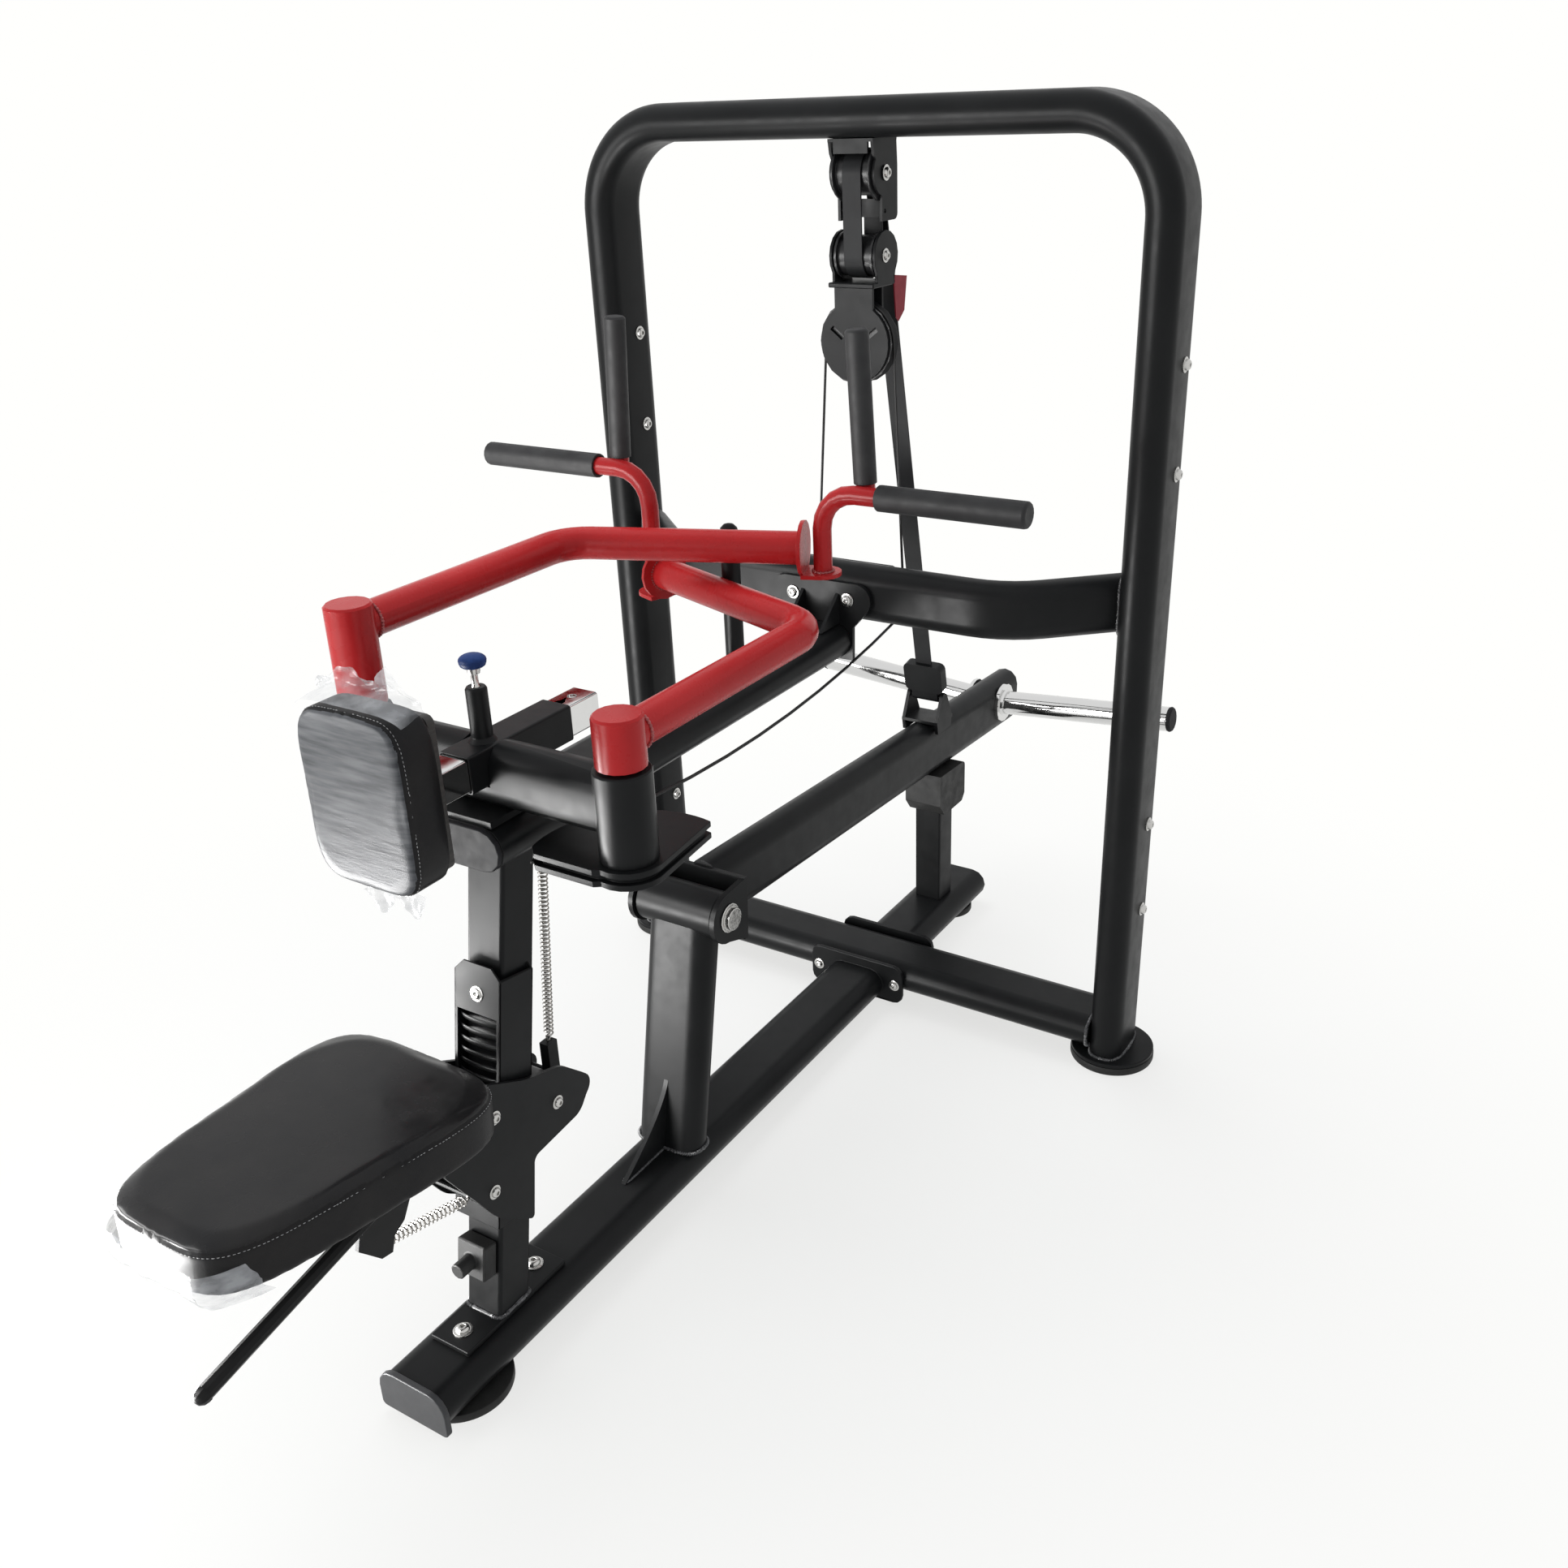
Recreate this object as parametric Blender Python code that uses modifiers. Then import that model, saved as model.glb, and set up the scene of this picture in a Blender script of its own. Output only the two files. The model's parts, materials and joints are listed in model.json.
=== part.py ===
"""Rear deltoid machine: a plate-loaded, seated, two-arm machine on an arched frame.

X runs across the machine, Y from the seat towards the arch, Z up; sizes are metres.
Places are measured from the arch plane (Y = 0) and the floor (Z = 0). One root empty then
shifts the whole model, so that its origin is on the floor under the middle of its box.
"""
import math

import bmesh
import bpy
from mathutils import Matrix, Vector

# Layout
ARCH_FORWARD = 0.498
GAP = 0.0003
OVAL_LONG = 0.120
OVAL_SHORT = 0.060
PLATE = 0.008

# Feet
FOOT_RADIUS = 0.0755
FOOT_THICK = 0.0152
FOOT_FLANGE_RADIUS = 0.0745
FOOT_FLANGE_THICK = 0.007
LOW_FOOT_THICK = 0.0147
FRONT_FOOT_RADIUS = 0.0745
REAR_FOOT_RADIUS = 0.050
FRONT_FOOT_Y = -1.197
REAR_FOOT_Y = 0.340

# Arch and floor frame
ARCH_HALF = 0.507
ARCH_TOP_HALF = 0.515
ARCH_TOP = 1.603
ARCH_BEND = 0.145
CROSS_TUBE_Z = 0.060
LOW_TUBE_Z = 0.045
BASE_FRONT = -1.278
BASE_CAP_LENGTH = 0.010
STUB_REAR = 0.397
FLANGE_HALF = 0.102
FLANGE_LOW = 0.012
FLANGE_HIGH = 0.094

# Posts on the floor frame
POST_SIDE = 0.0635
POST_FOOT_Y = -1.122
POST_LEAN = 0.180
POST_PLATE_LENGTH = 0.209
POST_PLATE_WIDTH = 0.070
POST_PLATE_Y = -1.1045
MIDDLE_POST_LEAN = 0.200
REAR_POST_Y = 0.266
REAR_POST_SIDE = 0.058
REAR_POST_TOP = 0.300
BUMPER_HALF = 0.040
BUMPER_LOW = 0.281

# Upper frame
BEAM_Z = 0.790
BEAM_FRONT = -1.042
BEAM_CAP_LENGTH = 0.008
CROSSBAR_Z = 0.8705
CROSSBAR_HIGH = 0.098
CROSSBAR_Y = -0.128
CROSSBAR_BEND_X = 0.327
CROSSBAR_BEND = 0.160
CROSSBAR_SWEEP = math.radians(42)
YOKE_Z = 0.873
YOKE_HIGH = 0.090
PIVOT_X = 0.218
PIVOT_Y = -0.986
HOUSING_RADIUS = 0.0375
HOUSING_LOW = 0.800
HOUSING_HIGH = 0.920
STOP_POST_RADIUS = 0.015
STOP_POST_Y = -0.426
STOP_POST_TOP = 1.055

# Arms
ARM_RADIUS = 0.025
ARM_REACH = 0.436
ARM_BEND = 0.060
ARM_CROSSING = 0.370
ARM_TURN = math.radians(70)
RIGHT_ARM_Z = 0.958
LEFT_ARM_Z = 1.031
HUB_RADIUS = 0.0325
HUB_GAP = 0.004
HUB_ABOVE_ARM = 0.032
SHAFT_RADIUS = 0.020
SHAFT_PLAY = 0.0005
TONGUE_DROP = 0.037
END_PLATE_RADIUS = 0.0415
END_PLATE = 0.006
HANDLE_RADIUS = 0.014
HANDLE_X = 0.158
HANDLE_Y = -0.413
HANDLE_Z = 1.116
HANDLE_BEND = 0.055
GRIP_START = 0.253
GRIP_END = 0.484
GRIP_RADIUS = 0.019
UPRIGHT_X = 0.223
UPRIGHT_Y = -0.396
UPRIGHT_LEAN = 0.050
UPRIGHT_GRIP_START = 1.1305
UPRIGHT_GRIP_END = 1.344
UPRIGHT_GRIP_RADIUS = 0.017

# Cams, cable and belt
CAM_RADIUS = 0.132
CAM_HOUSING_RADIUS = 0.046
CABLE_RADIUS = 0.0025
CAM_CABLE_RADIUS = 0.125
GUIDE_X = 0.087
GUIDE_Y = -0.058
GUIDE_Z = 0.830
GUIDE_CABLE_RADIUS = 0.030
GUIDE_PULLEY_RADIUS = 0.033
GUIDE_PULLEY_WIDTH = 0.012
CABLE_SAG = 0.042
CABLE_PULLEY_Y = -0.018
CABLE_PULLEY_RADIUS = 0.068
CABLE_PULLEY_WIDTH = 0.0244
BLOCK_CABLE_RADIUS = 0.064
UPPER_PULLEY_Z = ARCH_TOP - 0.082
LOWER_PULLEY_Z = UPPER_PULLEY_Z - 0.125
CABLE_PULLEY_Z = LOWER_PULLEY_Z - 0.134
ANCHOR_Z = UPPER_PULLEY_Z - 0.069
UPPER_DRUM_RADIUS = 0.034
LOWER_DRUM_RADIUS = 0.032
UPPER_FLANGE_RADIUS = 0.0435
LOWER_FLANGE_RADIUS = 0.038
BELT_THICK = 0.003
BELT_WIDTH = 0.034
BELT_SLOPE = 0.200
BELT_END_Z = 0.566
AXLE_RADIUS = 0.008

# Weight lever
LEVER_PIVOT_Y = -0.600
LEVER_PIVOT_Z = 0.478
LEVER_SLOPE = 0.055
LEVER_HIGH = 0.117
LEVER_END = 1.2086
BEARING_RADIUS = 0.038
BEARING_HALF = 0.0715
BEARING_BORE = 0.0130
PIVOT_BOLT_RADIUS = 0.0125
FORK_INNER = 0.0745
FORK_PLATE = 0.009
HORN_Y = 0.529
HORN_Z = 0.4224
HORN_RISE = math.radians(4.63)
HORN_RADIUS = 0.025
HORN_LENGTH = 0.372
HORN_FLANGE_RADIUS = 0.041
CLAMP_PIN_Y = 0.2325
CLAMP_PIN_Z = 0.541

# Seat
CARRIAGE_INNER = 0.047
CARRIAGE_PLATE = 0.006
RACK_HALF = 0.0405
RACK_SHEET = 0.003
RACK_STANDOFF = 0.010
RACK_CHAMFER = 0.016
RACK_LOW = 0.235
RACK_HIGH = 0.620
SLOT_PITCH = 0.0163
SLOT_HIGH = 0.0075
SLOT_WIDE = 0.062
SEAT_REAR = -1.160
SEAT_FRONT = -1.580
SEAT_REAR_HALF = 0.113
SEAT_FRONT_HALF = 0.161
SEAT_THICK = 0.060
SEAT_SLOPE = -0.061
SEAT_SEAM_Z = 0.5385
CARRIAGE_Y = -1.060
CARRIAGE_Z = 0.368
LATCH_PIN_Y = -1.187
LATCH_PIN_Z = 0.407

# Chest pad
PAD_FRONT = -1.212
PAD_THICK = 0.066
PAD_HALF = 0.087
PAD_LOW = 0.802
PAD_HIGH = 1.030
BOARD_THICK = 0.012
CHEST_TUBE = 0.045
CHEST_TUBE_Z = 0.890
CHEST_TUBE_REAR = -0.790
SLEEVE_SIDE = 0.051
SLEEVE_FRONT = -1.045
SLEEVE_REAR = -0.850
TUBE_PLAY = 0.0004
PIN_Y = -0.992
PIN_RADIUS = 0.006

ROUND_SIDES = 16
SMALL_SIDES = 10
OVAL_STEPS = 6
SHARP_ANGLE = math.radians(35)
WELD_DISTANCE = 0.00002
BITE = 0.002
X_AXIS = (1, 0, 0)
Y_AXIS = (0, 1, 0)
Z_AXIS = (0, 0, 1)


def clear_scene():
    for old in list(bpy.data.objects):
        bpy.data.objects.remove(old, do_unlink=True)


def make_collection(name):
    collection = bpy.data.collections.new(name)
    bpy.context.scene.collection.children.link(collection)
    return collection


def make_material(name, colour, roughness, metallic):
    material = bpy.data.materials.new(name)
    material.use_nodes = True
    shader = material.node_tree.nodes["Principled BSDF"]
    shader.inputs["Base Color"].default_value = (*colour, 1)
    shader.inputs["Roughness"].default_value = roughness
    shader.inputs["Metallic"].default_value = metallic
    return material


clear_scene()
PARTS = make_collection("rear_deltoid_machine")


def black_paint(name):
    return make_material(name, (0.030, 0.032, 0.034), 0.38, 0.0)


def red_paint(name):
    return make_material(name, (0.550, 0.020, 0.025), 0.20, 0.0)


def polished_steel(name):
    return make_material(name, (0.800, 0.800, 0.810), 0.12, 1.0)


def dull_steel(name):
    return make_material(name, (0.450, 0.450, 0.450), 0.35, 1.0)


def black_rubber(name):
    return make_material(name, (0.022, 0.022, 0.024), 0.70, 0.0)


def black_plastic(name):
    return make_material(name, (0.018, 0.018, 0.020), 0.45, 0.0)


def blue_plastic(name):
    return make_material(name, (0.020, 0.090, 0.350), 0.35, 0.0)


def black_vinyl(name):
    return make_material(name, (0.035, 0.034, 0.034), 0.30, 0.0)


def plywood(name):
    return make_material(name, (0.400, 0.270, 0.150), 0.70, 0.0)


def place(origin, x_axis, y_axis):
    """Matrix that puts a local frame at origin with the given X and Y directions."""
    x = Vector(x_axis).normalized()
    y = Vector(y_axis).normalized()
    matrix = Matrix((x, y, x.cross(y))).transposed().to_4x4()
    matrix.translation = Vector(origin)
    return matrix


def flat_on_yz(x):
    return place((x, 0, 0), Y_AXIS, Z_AXIS)


def flat_on_xz(y):
    return place((0, y, 0), X_AXIS, Z_AXIS)


def flat_on_xy(z):
    return Matrix.Translation((0, 0, z))


def turned_along(origin, direction):
    """Matrix whose Z runs along the direction."""
    matrix = Vector(direction).to_track_quat("Z", "Y").to_matrix().to_4x4()
    matrix.translation = Vector(origin)
    return matrix


def evaluated_mesh(obj):
    bpy.context.view_layer.update()
    depsgraph = bpy.context.evaluated_depsgraph_get()
    return bpy.data.meshes.new_from_object(obj.evaluated_get(depsgraph))


def tidy_mesh(mesh):
    work = bmesh.new()
    work.from_mesh(mesh)
    bmesh.ops.remove_doubles(work, verts=work.verts, dist=WELD_DISTANCE)
    bmesh.ops.recalc_face_normals(work, faces=work.faces)
    work.to_mesh(mesh)
    work.free()


def solid(mesh, matrix):
    """Loose object that holds a finished closed mesh at its real place."""
    tidy_mesh(mesh)
    mesh.transform(matrix)
    obj = bpy.data.objects.new("solid", mesh)
    PARTS.objects.link(obj)
    return obj


def bake(obj, matrix):
    """Turn an object with its modifiers into a plain solid, moved by the matrix."""
    mesh = evaluated_mesh(obj)
    bpy.data.objects.remove(obj, do_unlink=True)
    return solid(mesh, matrix)


def linked(data):
    obj = bpy.data.objects.new("raw", data)
    PARTS.objects.link(obj)
    return obj


def add_spline(curve, points, closed):
    spline = curve.splines.new("POLY")
    spline.points.add(len(points) - 1)
    for knot, point in zip(spline.points, points):
        knot.co = (*Vector(point).to_3d(), 1)
    spline.use_cyclic_u = closed


def prism(rings, depth, matrix):
    """Flat outline, with its holes, given a thickness about its plane."""
    curve = bpy.data.curves.new("outline", "CURVE")
    curve.dimensions = "2D"
    curve.fill_mode = "BOTH"
    curve.extrude = depth / 2
    for ring in rings:
        add_spline(curve, ring, True)
    return bake(linked(curve), matrix)


def tube(points, radius, sides, matrix=Matrix.Identity(4)):
    """Round bar or wire along a path."""
    curve = bpy.data.curves.new("path", "CURVE")
    curve.dimensions = "3D"
    curve.bevel_depth = radius
    curve.bevel_resolution = (sides - 4) // 2
    curve.use_fill_caps = True
    add_spline(curve, points, False)
    return bake(linked(curve), matrix)


def swept(points, section, matrix):
    """Section swept along a path in the local XY plane; section X stays in that plane."""
    profile = bpy.data.curves.new("section", "CURVE")
    profile.dimensions = "2D"
    profile.fill_mode = "NONE"
    add_spline(profile, section, True)
    guide = linked(profile)
    curve = bpy.data.curves.new("path", "CURVE")
    curve.dimensions = "3D"
    curve.twist_mode = "Z_UP"
    curve.bevel_mode = "OBJECT"
    curve.bevel_object = guide
    curve.use_fill_caps = True
    add_spline(curve, points, False)
    obj = bake(linked(curve), matrix)
    bpy.data.objects.remove(guide, do_unlink=True)
    return obj


def turned(profile, sides, matrix, closed=False):
    """Profile of (radius, height) points, top to bottom, turned about local Z."""
    mesh = bpy.data.meshes.new("profile")
    vertices = [(radius, 0, height) for radius, height in profile]
    edges = [(i, i + 1) for i in range(len(profile) - 1)]
    if closed:
        edges.append((len(profile) - 1, 0))
    mesh.from_pydata(vertices, edges, [])
    obj = linked(mesh)
    screw = obj.modifiers.new("turn", "SCREW")
    screw.steps = sides
    screw.render_steps = sides
    screw.use_merge_vertices = True
    screw.merge_threshold = WELD_DISTANCE
    return bake(obj, matrix)


def box(low, high, matrix=Matrix.Identity(4)):
    mesh = bpy.data.meshes.new("box")
    work = bmesh.new()
    bmesh.ops.create_cube(work, size=1)
    size = Vector(high) - Vector(low)
    middle = (Vector(high) + Vector(low)) / 2
    spread = Matrix.Translation(middle) @ Matrix.Diagonal((*size, 1))
    bmesh.ops.transform(work, matrix=spread, verts=work.verts)
    work.to_mesh(mesh)
    work.free()
    return solid(mesh, matrix)


def cylinder(radius, start, end, sides):
    """Round bar between two points."""
    start = Vector(start)
    end = Vector(end)
    mesh = bpy.data.meshes.new("bar")
    work = bmesh.new()
    bmesh.ops.create_cone(work, cap_ends=True, segments=sides, radius1=radius, radius2=radius,
                          depth=(end - start).length)
    work.to_mesh(mesh)
    work.free()
    return solid(mesh, turned_along((start + end) / 2, end - start))


def rounded(obj, width, segments=2):
    """Round the edges with a Bevel modifier."""
    bevel = obj.modifiers.new("round", "BEVEL")
    bevel.width = width
    bevel.segments = segments
    bevel.limit_method = "ANGLE"
    bevel.angle_limit = math.radians(50)
    return bake(obj, Matrix.Identity(4))


def boolean(obj, tool, operation):
    modifier = obj.modifiers.new("boolean", "BOOLEAN")
    modifier.operation = operation
    modifier.object = tool
    modifier.solver = "EXACT"
    result = bake(obj, Matrix.Identity(4))
    bpy.data.objects.remove(tool, do_unlink=True)
    return result


def joined(obj, *others):
    for other in others:
        obj = boolean(obj, other, "UNION")
    return obj


def cut(obj, *tools):
    for tool in tools:
        obj = boolean(obj, tool, "DIFFERENCE")
    return obj


def mirrored(obj):
    """Copy of a solid on the other side of the middle plane, X = 0."""
    mesh = obj.data.copy()
    mesh.transform(Matrix.Diagonal((-1, 1, 1, 1)))
    return solid(mesh, Matrix.Identity(4))


def part(name, obj, material, pivot=None):
    """Name a solid as a sub-part, give it its material and put its origin at its pivot."""
    obj.name = name
    obj.data.name = name
    obj.data.materials.clear()
    obj.data.materials.append(material)
    obj.data.shade_smooth()
    obj.data.set_sharp_from_angle(angle=SHARP_ANGLE)
    if pivot is not None:
        obj.data.transform(Matrix.Translation(-Vector(pivot)))
        obj.location = pivot
    return obj


def arc(centre, radius, start, end, steps):
    """Points (x, y) on a circular arc; angles in degrees."""
    points = []
    for i in range(steps + 1):
        angle = math.radians(start + (end - start) * i / steps)
        points.append((centre[0] + radius * math.cos(angle), centre[1] + radius * math.sin(angle)))
    return points


def circle(centre, radius, sides):
    return arc(centre, radius, 0, 360 - 360 / sides, sides - 1)


def oval(wide, high):
    """Flat-oval tube section: two half circles joined by flats along the longer side."""
    radius = min(wide, high) / 2
    flat = max(wide, high) / 2 - radius
    if wide >= high:
        return (arc((flat, 0), radius, -90, 90, OVAL_STEPS)
                + arc((-flat, 0), radius, 90, 270, OVAL_STEPS))
    return (arc((0, flat), radius, 0, 180, OVAL_STEPS)
            + arc((0, -flat), radius, 180, 360, OVAL_STEPS))


def bend_points(before, corner, after, radius, steps):
    """Arc that rounds a corner between two straight runs."""
    first = (Vector(before) - Vector(corner)).normalized()
    second = (Vector(after) - Vector(corner)).normalized()
    half = first.angle(second) / 2
    centre = Vector(corner) + (first + second).normalized() * radius / math.sin(half)
    reach = radius / math.tan(half)
    start = Vector(corner) + first * reach - centre
    end = Vector(corner) + second * reach - centre
    sweep = math.pi - 2 * half
    points = []
    for i in range(steps + 1):
        part_way = i / steps
        blend = start * math.sin((1 - part_way) * sweep) + end * math.sin(part_way * sweep)
        points.append(centre + blend / math.sin(sweep))
    return points


def outline(corners, steps=4):
    """Closed outline from (x, y, radius) corners; a radius of 0 stays sharp."""
    points = []
    for i, (x, y, radius) in enumerate(corners):
        if radius == 0:
            points.append((x, y))
            continue
        before = corners[i - 1][:2]
        after = corners[(i + 1) % len(corners)][:2]
        points.extend(tuple(p) for p in bend_points(before, (x, y), after, radius, steps))
    return points


def bent_path(corners, radius, steps):
    """Straight runs joined by equal bends."""
    points = [Vector(corners[0])]
    for before, corner, after in zip(corners, corners[1:], corners[2:]):
        points.extend(bend_points(before, corner, after, radius, steps))
    points.append(Vector(corners[-1]))
    return points


def rounded_rectangle(half_wide, low, high, radius, steps=3):
    return outline([(-half_wide, low, radius), (half_wide, low, radius),
                    (half_wide, high, radius), (-half_wide, high, radius)], steps)


# Arch and floor frame

LEG_INNER = ARCH_HALF - OVAL_SHORT / 2
FLANGE_TOP = FOOT_THICK + GAP + FOOT_FLANGE_THICK
LOW_TUBE_TOP = LOW_TUBE_Z + OVAL_SHORT / 2
CROSS_HALF = OVAL_LONG / 2
LOW_TUBE_START = CROSS_HALF + GAP + PLATE


def foot_disc(name, x, y, radius, thick):
    edge = 0.002
    profile = [(0, thick), (radius - edge, thick), (radius, thick - edge), (radius, 0), (0, 0)]
    disc = turned(profile, ROUND_SIDES, Matrix.Translation((x, y, 0)))
    return part(name, disc, black_rubber(name))


def arch_frame():
    """Bent flat-oval tube with a round flange welded under each leg."""
    low = FLANGE_TOP - BITE
    corners = [(-ARCH_HALF, low, 0), (-ARCH_TOP_HALF, ARCH_TOP, 0),
               (ARCH_TOP_HALF, ARCH_TOP, 0), (ARCH_HALF, low, 0)]
    path = bent_path(corners, ARCH_BEND, 7)
    frame = swept(path, oval(OVAL_SHORT, OVAL_LONG), flat_on_xz(0))
    for side in (-1, 1):
        flange = turned([(0, FLANGE_TOP), (FOOT_FLANGE_RADIUS, FLANGE_TOP),
                         (FOOT_FLANGE_RADIUS, FOOT_THICK + GAP), (0, FOOT_THICK + GAP)],
                        ROUND_SIDES, Matrix.Translation((side * ARCH_HALF, 0, 0)))
        frame = joined(frame, flange)
    return part("arch_frame", frame, black_paint("arch_paint"))


def floor_cross_tube():
    length = 2 * (LEG_INNER - GAP)
    bar = prism([oval(OVAL_LONG, OVAL_SHORT)], length, place((0, 0, CROSS_TUBE_Z), Y_AXIS, Z_AXIS))
    return part("floor_cross_tube", bar, black_paint("cross_tube_paint"))


def low_flange(y):
    ears = rounded_rectangle(FLANGE_HALF, FLANGE_LOW, FLANGE_HIGH, 0.020)
    return prism([ears], PLATE, flat_on_xz(y))


def low_tube(start, end):
    return prism([oval(OVAL_LONG, OVAL_SHORT)], abs(end - start),
                 place((0, (start + end) / 2, LOW_TUBE_Z), X_AXIS, Z_AXIS))


def base_tube():
    """Long tube under the seat with the flange that bolts to the front of the cross tube."""
    flange = low_flange(-CROSS_HALF - GAP - PLATE / 2)
    body = low_tube(BASE_FRONT, -LOW_TUBE_START + BITE)
    return part("base_tube", joined(flange, body), black_paint("base_tube_paint"))


def base_end_cap():
    """Moulded end cap: high round shoulders and a flat foot with small chamfers."""
    half = OVAL_LONG / 2 + 0.002
    low = LOW_TUBE_Z - OVAL_SHORT / 2 - 0.004
    high = LOW_TUBE_TOP + 0.003
    shape = outline([(-half, low, 0.008), (half, low, 0.008), (half, high, 0.030), (-half, high, 0.030)])
    cap = prism([shape], BASE_CAP_LENGTH, flat_on_xz(BASE_FRONT - GAP - BASE_CAP_LENGTH / 2))
    return part("base_end_cap", cap, black_plastic("base_cap_plastic"))


def rear_stub_tube():
    """Short rear tube with its flange and the square post that carries the lever stop."""
    flange = low_flange(CROSS_HALF + GAP + PLATE / 2)
    body = low_tube(LOW_TUBE_START - BITE, STUB_REAR)
    half = REAR_POST_SIDE / 2
    post = box((-half, REAR_POST_Y - half, LOW_TUBE_TOP - BITE), (half, REAR_POST_Y + half, REAR_POST_TOP))
    return part("rear_stub_tube", joined(flange, body, rounded(post, 0.005)), black_paint("stub_paint"))


def lever_height(y):
    """Height of the resting lever tube's axis above the floor."""
    return LEVER_PIVOT_Z - LEVER_SLOPE * (y - LEVER_PIVOT_Y)


def rubber_bumper():
    """Rubber block over the rear post, with a sloped seat for the resting lever."""
    front = REAR_POST_Y - 0.050
    rear = REAR_POST_Y + 0.062
    half_high = LEVER_HIGH / 2 / math.cos(math.atan(LEVER_SLOPE)) + GAP
    front_top = lever_height(front) - half_high
    rear_top = lever_height(rear) - half_high
    shape = outline([(front, front_top, 0), (front, BUMPER_LOW + 0.026, 0.004),
                     (front + 0.020, BUMPER_LOW, 0.004), (rear - 0.012, BUMPER_LOW, 0.006),
                     (rear, BUMPER_LOW + 0.014, 0.006), (rear, rear_top, 0.010)], 3)
    block = prism([shape], 2 * BUMPER_HALF, flat_on_yz(0))
    half = REAR_POST_SIDE / 2 + GAP
    pocket = box((-half, REAR_POST_Y - half, BUMPER_LOW - BITE),
                 (half, REAR_POST_Y + half, REAR_POST_TOP + GAP))
    return part("rubber_bumper", cut(block, pocket), black_rubber("bumper_rubber"))


def middle_post():
    """Leaning post with the bearing housing of the weight lever and a front gusset."""
    lean = Vector((0, MIDDLE_POST_LEAN, 1)).normalized()
    housing_centre = Vector((0, LEVER_PIVOT_Y, LEVER_PIVOT_Z))
    foot_z = LOW_TUBE_TOP + GAP
    length = (LEVER_PIVOT_Z - foot_z) / lean.z + OVAL_SHORT
    middle = housing_centre - lean * length / 2
    post = prism([oval(OVAL_LONG, OVAL_SHORT)], length, place(middle, X_AXIS, lean.cross(Vector(X_AXIS))))
    housing = cylinder(BEARING_RADIUS, (-BEARING_HALF, LEVER_PIVOT_Y, LEVER_PIVOT_Z),
                       (BEARING_HALF, LEVER_PIVOT_Y, LEVER_PIVOT_Z), ROUND_SIDES)
    gusset_half = 0.030
    foot_y = LEVER_PIVOT_Y - MIDDLE_POST_LEAN * (LEVER_PIVOT_Z - foot_z)
    gusset = prism([[(foot_y, foot_z), (foot_y - 0.110, foot_z), (foot_y - 0.004, foot_z + 0.120)]],
                   2 * gusset_half, flat_on_yz(0))
    floor_cutter = box((-0.1, foot_y - 0.2, -0.1), (0.1, foot_y + 0.2, foot_z))
    bore = cylinder(BEARING_BORE, (-0.1, LEVER_PIVOT_Y, LEVER_PIVOT_Z),
                    (0.1, LEVER_PIVOT_Y, LEVER_PIVOT_Z), ROUND_SIDES)
    body = cut(joined(post, housing, gusset), floor_cutter, bore)
    return part("middle_post", body, black_paint("middle_post_paint"))


# Seat post and its rack

POST_UP = Vector((0, POST_LEAN, 1)).normalized()
POST_REARWARD = Vector((0, POST_UP.z, -POST_UP.y))
POST_FRAME = place((0, POST_FOOT_Y, 0), X_AXIS, POST_REARWARD)
POST_PLATE_TOP = LOW_TUBE_TOP + GAP + PLATE
BEAM_LOW = BEAM_Z - OVAL_SHORT / 2
BEAM_HIGH = BEAM_Z + OVAL_SHORT / 2


def seat_post():
    """Leaning square post on a bolted base plate."""
    half = POST_SIDE / 2
    post = rounded(box((-half, -half, 0), (half, half, 1), POST_FRAME), 0.006)
    above = box((-0.1, -2, BEAM_LOW - GAP), (0.1, 0, 2))
    below = box((-0.1, -2, -1), (0.1, 0, POST_PLATE_TOP - BITE))
    plate = box((-POST_PLATE_WIDTH / 2, POST_PLATE_Y - POST_PLATE_LENGTH / 2, LOW_TUBE_TOP + GAP),
                (POST_PLATE_WIDTH / 2, POST_PLATE_Y + POST_PLATE_LENGTH / 2, POST_PLATE_TOP))
    body = joined(cut(post, above, below), plate)
    return part("seat_post", body, black_paint("seat_post_paint"))


def seat_rack():
    """Channel on the front of the post; the slots in its face hold the seat's latch."""
    side = POST_SIDE / 2 + GAP
    inner = side + RACK_STANDOFF
    front = inner + RACK_SHEET
    back = POST_SIDE / 2 - 0.012
    hollow = RACK_HALF - RACK_SHEET
    channel = [(-RACK_HALF, back), (-RACK_HALF, -front), (RACK_HALF, -front), (RACK_HALF, back),
               (side, back), (side, -side), (hollow, -side), (hollow, -inner), (-hollow, -inner),
               (-hollow, -side), (-side, -side), (-side, back)]
    middle = (RACK_LOW + RACK_HIGH) / 2
    rack = prism([channel], RACK_HIGH - RACK_LOW, POST_FRAME @ Matrix.Translation((0, 0, middle)))
    slots = int((RACK_HIGH - RACK_LOW - 0.110) / SLOT_PITCH)
    for i in range(slots):
        height = RACK_LOW + 0.030 + SLOT_PITCH * i
        low = (-SLOT_WIDE / 2, -front - BITE, height)
        high = (SLOT_WIDE / 2, -inner + GAP / 2, height + SLOT_HIGH)
        rack = cut(rack, box(low, high, POST_FRAME))
    across = POST_FRAME @ place((0, 0, 0), X_AXIS, Z_AXIS)
    for way in (-1, 1):
        corner = [(way * (RACK_HALF + BITE), RACK_HIGH - RACK_CHAMFER - BITE),
                  (way * (RACK_HALF + BITE), RACK_HIGH + BITE),
                  (way * (RACK_HALF - RACK_CHAMFER - BITE), RACK_HIGH + BITE)]
        rack = cut(rack, prism([corner], 0.2, across))
    return part("seat_rack", rack, dull_steel("rack_steel"))


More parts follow.
